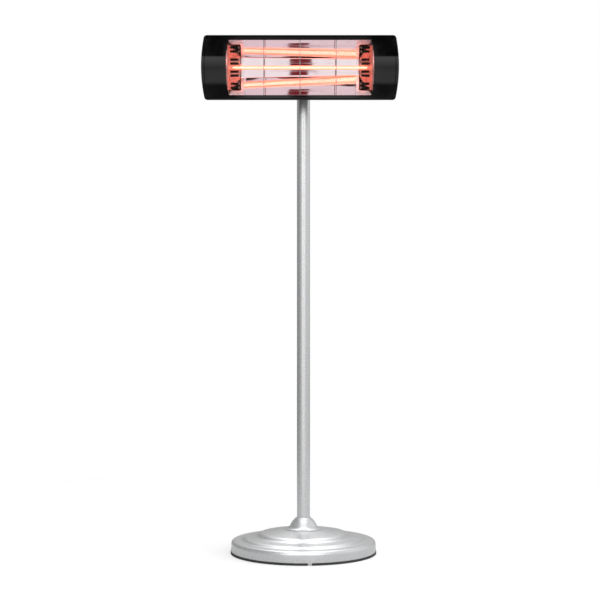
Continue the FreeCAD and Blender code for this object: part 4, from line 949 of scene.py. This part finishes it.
def make_gland_ribs():
    """Ribs round the nut of the cable gland."""
    slot = SLOT_OF["gland_nut"]
    mesh = grown_mesh("gland_grip_ribs", make_rib_tree(), Finish=FINISHES[slot])
    mesh.transform(TO_THE_BACK @ Matrix.Translation((GLAND_ACROSS, 0, RIBS_DEPTH)))
    new_piece("gland_grip_ribs", mesh, "head", slot)


make_gland_ribs()

# Pieces whose edges are broken as moulded, cast and bent ones are
SAME_POINT = 0.005 * MM
SAME_PLANE = math.radians(0.5)
EDGE_SEGMENTS = 3


def soften(node, name, body, width):
    """Stand a copy of a solid, with rounded edges, in its place."""
    shape = bmesh.new()
    shape.from_mesh(nodes[node].data)
    bmesh.ops.remove_doubles(shape, verts=shape.verts, dist=SAME_POINT)
    bmesh.ops.dissolve_limit(shape, angle_limit=SAME_PLANE, verts=shape.verts, edges=shape.edges)
    turn_outwards(shape)
    piece = new_piece(name, mesh_of(shape, name), body, SLOT_OF[node], [node])
    edges = piece.modifiers.new("edges", "BEVEL")
    edges.width = width
    edges.segments = EDGE_SEGMENTS
    edges.limit_method = "ANGLE"
    edges.angle_limit = CREASE
    edges.harden_normals = True


for node, name, body, width in (
    ("head_bracket", "bracket_plate_and_ear", "head", 0.6 * MM),
    ("tilt_knob", "clamp_knob", "knob", 0.9 * MM),
    ("switch_housing", "switch_frame", "head", 0.6 * MM),
    ("switch_rocker", "switch_key", "rocker", 0.5 * MM),
    ("gland_body", "gland_base", "head", 0.5 * MM),
    ("pole_top_fitting", "pole_head", "stand", 0.7 * MM),
):
    soften(node, name, body, width)

# Marks of the switch key
MARK_DEPTH = 0.1 * MM
MARK_RISE = 0.25 * MM
MARK_STEPS = 40
BAR_RADIUS = 0.55 * MM
BAR_HALF_LENGTH = 1.7 * MM
RING_OUTER = 2.4 * MM
RING_INNER = 1.6 * MM


def bar_points():
    """Return points round an upright bar with round ends."""
    ends = circle(BAR_RADIUS, MARK_STEPS)
    return [(x, y + math.copysign(BAR_HALF_LENGTH, y)) for x, y in ends]


def raise_mark(shape, place, outer, inner=None):
    """Raise an outline from a surface, with a hole inside where one is given."""
    rims = []
    for outline in (outer, inner or []):
        for level in (-MARK_DEPTH, MARK_RISE):
            rims.append([shape.verts.new(place @ Vector((x, y, level))) for x, y in outline])
    foot, top, hole_foot, hole_top = rims
    pairs = [(foot, top)]
    if inner:
        pairs += [(top, hole_top), (hole_top, hole_foot), (hole_foot, foot)]
    else:
        shape.faces.new(top)
        shape.faces.new(foot[::-1])
    for one, two in pairs:
        for index in range(len(one)):
            shape.faces.new((one[index - 1], one[index], two[index], two[index - 1]))


def mark_place(height, depth, lean):
    """Return a place on the key: height and depth in millimetres, and the key's lean in degrees."""
    spot = Matrix.Translation((SWITCH_ACROSS, depth * MM, height * MM))
    return HEAD_FRAME @ spot @ Matrix.Rotation(math.radians(lean - 90), 4, "X")


def make_switch_marks():
    """Raised bar for on and ring for off."""
    shape = bmesh.new()
    raise_mark(shape, mark_place(height=6, depth=84.68, lean=-1), bar_points())
    raise_mark(
        shape,
        mark_place(height=-6, depth=86.48, lean=17),
        circle(RING_OUTER, MARK_STEPS),
        circle(RING_INNER, MARK_STEPS),
    )
    turn_outwards(shape)
    mesh = mesh_of(shape, "on_off_marks")
    mesh.set_sharp_from_angle(angle=CREASE)
    new_piece("on_off_marks", mesh, "rocker", "white_nylon")


make_switch_marks()

# Studio. Pairs give where a light or flag starts and where it is full, in degrees from straight
# ahead or from level, or as shares of a direction's X, Y or Z.
CAMERA_PLACE = (-0.009, -3.736, 0.658)
FLOOR_RADIUS = 1.7
FLOOR_GREY = 0.45
FLOOR_GLOW = 0.39
MIRRORED_SHARE = 0.15
HIGHEST_LEVEL = 2.0
# Light of the walls, by degrees round the studio and up it
ROUND_THE_STUDIO = (
    (-180, 0.28), (-150, 0.24), (-120, 0.26), (-82, 0.28), (-50, 0.42), (-31, 0.68),
    (-14, 1.2), (0, 1.3), (14, 1.2), (24, 0.82), (41, 0.7), (60, 0.62),
    (82, 0.7), (109, 0.66), (150, 0.36), (180, 0.28),
)
UP_THE_STUDIO = (
    (-90, 0.4), (-30, 0.5), (-7, 0.8), (0, 1.08), (8, 1.45), (40, 1.4), (70, 0.8), (90, 0.7),
)
# Softbox above the camera
ABOVE_CAMERA_FOOT = (6, 11)
ABOVE_CAMERA_TOP = (40, 32)
ABOVE_CAMERA_SIDE = (40, 25)
ABOVE_CAMERA_LEVEL = 1.2
# Flag straight ahead, which the trough mirrors, and the red card below it
FLAG_SIDE = (5.4, 4.2)
FLAG_CORE = (2.95, 2.7)
FLAG_EDGES = (
    (-90, 0.1), (-25, 0.1), (-21.5, 0.75), (-14, 0.7), (-9, 0.55), (-2, 1.2),
    (0.4, 1.35), (1.2, 0.01), (19, 0.01), (25, 1.2), (50, 1.3), (90, 0.7),
)
FLAG_MIDDLE = (
    (-90, 0.6), (-45, 0.9), (-20, 1.0), (9, 1.0), (13.5, 0.25), (19, 0.25),
    (25, 1.0), (50, 1.0), (90, 0.7),
)
CARD_SIDE = (0.46, 0.38)
CARD_TOP = (-7.5, -8.1)
CARD_COLOUR = (0.2, 0.024, 0.03, 1)
# Strip light overhead
OVERHEAD_SIDE = (0.62, 0.12)
OVERHEAD_FALL = 1.6
OVERHEAD_RISE = (0.55, 0.85)
OVERHEAD_REACH = (-0.6, -0.3)
OVERHEAD_LEVEL = 2.6
# Low light behind the stand
BEHIND_SIDE = (0.3, 0.12)
BEHIND_RISE = (0.32, 0.5)
BEHIND_FALL = 1.5
BEHIND_REACH = (0.3, 0.5)
BEHIND_LEVEL = 0.6


def make_camera():
    """Level camera in front of the heater, with the frame of the picture."""
    data = bpy.data.cameras.new("camera")
    data.sensor_width = 36.0
    data.lens = 86.0
    data.clip_end = 50.0
    camera = bpy.data.objects.new("camera", data)
    camera.location = CAMERA_PLACE
    camera.rotation_euler = (math.radians(90), 0, 0)
    bpy.context.scene.collection.objects.link(camera)
    bpy.context.scene.camera = camera


def seen_rays(tree, strength):
    """Return a strength for rays from the camera, directly, by reflection or through glass."""
    path = tree.nodes.new("ShaderNodeLightPath").outputs
    mirrored = product(tree, path["Is Glossy Ray"], MIRRORED_SHARE)
    seen = math_node(tree, "MAXIMUM", path["Is Camera Ray"], mirrored)
    seen = math_node(tree, "MAXIMUM", seen, path["Is Transmission Ray"])
    return product(tree, seen, strength)


def make_floor():
    """Pale floor that keeps the shadow and is otherwise as white as the background."""
    shape = bmesh.new()
    bmesh.ops.create_circle(shape, cap_ends=True, segments=128, radius=FLOOR_RADIUS)
    turn_outwards(shape)
    floor = bpy.data.objects.new("floor", mesh_of(shape, "floor"))
    floor.data.shade_flat()
    bpy.context.scene.collection.objects.link(floor)
    material = bpy.data.materials.new("pale_floor")
    material.use_nodes = True
    tree = material.node_tree
    tree.nodes.clear()
    matt = add_node(tree, "ShaderNodeBsdfDiffuse", Color=(FLOOR_GREY, FLOOR_GREY, FLOOR_GREY, 1))
    strength = seen_rays(tree, FLOOR_GLOW)
    glow = add_node(tree, "ShaderNodeEmission", Color=(1, 1, 1, 1), Strength=strength)
    both = tree.nodes.new("ShaderNodeAddShader")
    tree.links.new(matt.outputs[0], both.inputs[0])
    tree.links.new(glow.outputs[0], both.inputs[1])
    output = tree.nodes.new("ShaderNodeOutputMaterial")
    tree.links.new(both.outputs[0], output.inputs["Surface"])
    floor.data.materials.append(material)


def profile(tree, value, stops):
    """Map a value to a level by straight runs between stops, each a place and a level."""
    low, high = stops[0][0], stops[-1][0]
    ramp = add_node(tree, "ShaderNodeValToRGB", Fac=remap(tree, value, low, high))
    elements = ramp.color_ramp.elements
    while len(elements) < len(stops):
        elements.new(0.5)
    for element, (spot, level) in zip(elements, stops):
        share = level / HIGHEST_LEVEL
        element.position = (spot - low) / (high - low)
        element.color = (share, share, share, 1)
    return product(tree, ramp.outputs["Color"], HIGHEST_LEVEL)


def make_world():
    """White background; for light and reflections a studio with a dark flag ahead of the head."""
    world = bpy.data.worlds.new("studio")
    bpy.context.scene.world = world
    world.use_nodes = True
    tree = world.node_tree
    tree.nodes.clear()
    direction = tree.nodes.new("ShaderNodeTexCoord").outputs["Generated"]
    axes = add_node(tree, "ShaderNodeSeparateXYZ", Vector=direction).outputs
    across = math_node(tree, "ABSOLUTE", axes["X"])
    forward = product(tree, axes["Y"], -1.0)
    azimuth = math_node(tree, "DEGREES", math_node(tree, "ARCTAN2", axes["X"], forward))
    elevation = math_node(tree, "DEGREES", math_node(tree, "ARCSINE", axes["Z"]))
    aside = math_node(tree, "ABSOLUTE", azimuth)
    above_camera = product(
        tree,
        remap(tree, elevation, *ABOVE_CAMERA_FOOT),
        remap(tree, elevation, *ABOVE_CAMERA_TOP),
        remap(tree, aside, *ABOVE_CAMERA_SIDE),
        ABOVE_CAMERA_LEVEL,
    )
    overhead = product(
        tree,
        math_node(tree, "POWER", remap(tree, across, *OVERHEAD_SIDE), OVERHEAD_FALL),
        remap(tree, axes["Z"], *OVERHEAD_RISE),
        remap(tree, axes["Y"], *OVERHEAD_REACH),
        OVERHEAD_LEVEL,
    )
    behind = product(
        tree,
        math_node(tree, "POWER", remap(tree, axes["Z"], *BEHIND_RISE), BEHIND_FALL),
        remap(tree, axes["Y"], *BEHIND_REACH),
        remap(tree, across, *BEHIND_SIDE),
        BEHIND_LEVEL,
    )
    around = profile(tree, azimuth, ROUND_THE_STUDIO)
    walls = product(tree, around, profile(tree, elevation, UP_THE_STUDIO))
    walls = math_node(tree, "ADD", walls, above_camera)
    edges = profile(tree, elevation, FLAG_EDGES)
    middle = profile(tree, elevation, FLAG_MIDDLE)
    flag = blend_colours(tree, remap(tree, aside, *FLAG_CORE), edges, middle)
    card = blend_colours(tree, remap(tree, aside, *CARD_SIDE), flag, CARD_COLOUR)
    flag = blend_colours(tree, remap(tree, elevation, *CARD_TOP), flag, card)
    room = blend_colours(tree, remap(tree, aside, *FLAG_SIDE), walls, flag)
    lit = tree.nodes.new("ShaderNodeVectorMath")
    tree.links.new(room, lit.inputs[0])
    tree.links.new(math_node(tree, "ADD", overhead, behind), lit.inputs[1])
    seen = tree.nodes.new("ShaderNodeLightPath").outputs["Is Camera Ray"]
    colour = blend_colours(tree, seen, lit.outputs["Vector"], (1, 1, 1, 1))
    back = add_node(tree, "ShaderNodeBackground", Color=colour, Strength=1.0)
    output = tree.nodes.new("ShaderNodeOutputWorld")
    tree.links.new(back.outputs[0], output.inputs["Surface"])


def softbox(name, place, target, width, height, power):
    """Rectangular soft light that points at a target."""
    data = bpy.data.lights.new(name, "AREA")
    data.shape = "RECTANGLE"
    data.size = width
    data.size_y = height
    data.energy = power
    light = bpy.data.objects.new(name, data)
    light.location = place
    light.rotation_euler = (Vector(target) - Vector(place)).to_track_quat("-Z", "Y").to_euler()
    light.visible_camera = False
    light.visible_glossy = False
    bpy.context.scene.collection.objects.link(light)


make_camera()
make_floor()
make_world()
softbox("right_side", (2.6, -0.7, 1.5), target=(0, 0, 0.4), width=1.0, height=1.2, power=26)
bpy.context.scene.view_settings.view_transform = "Standard"
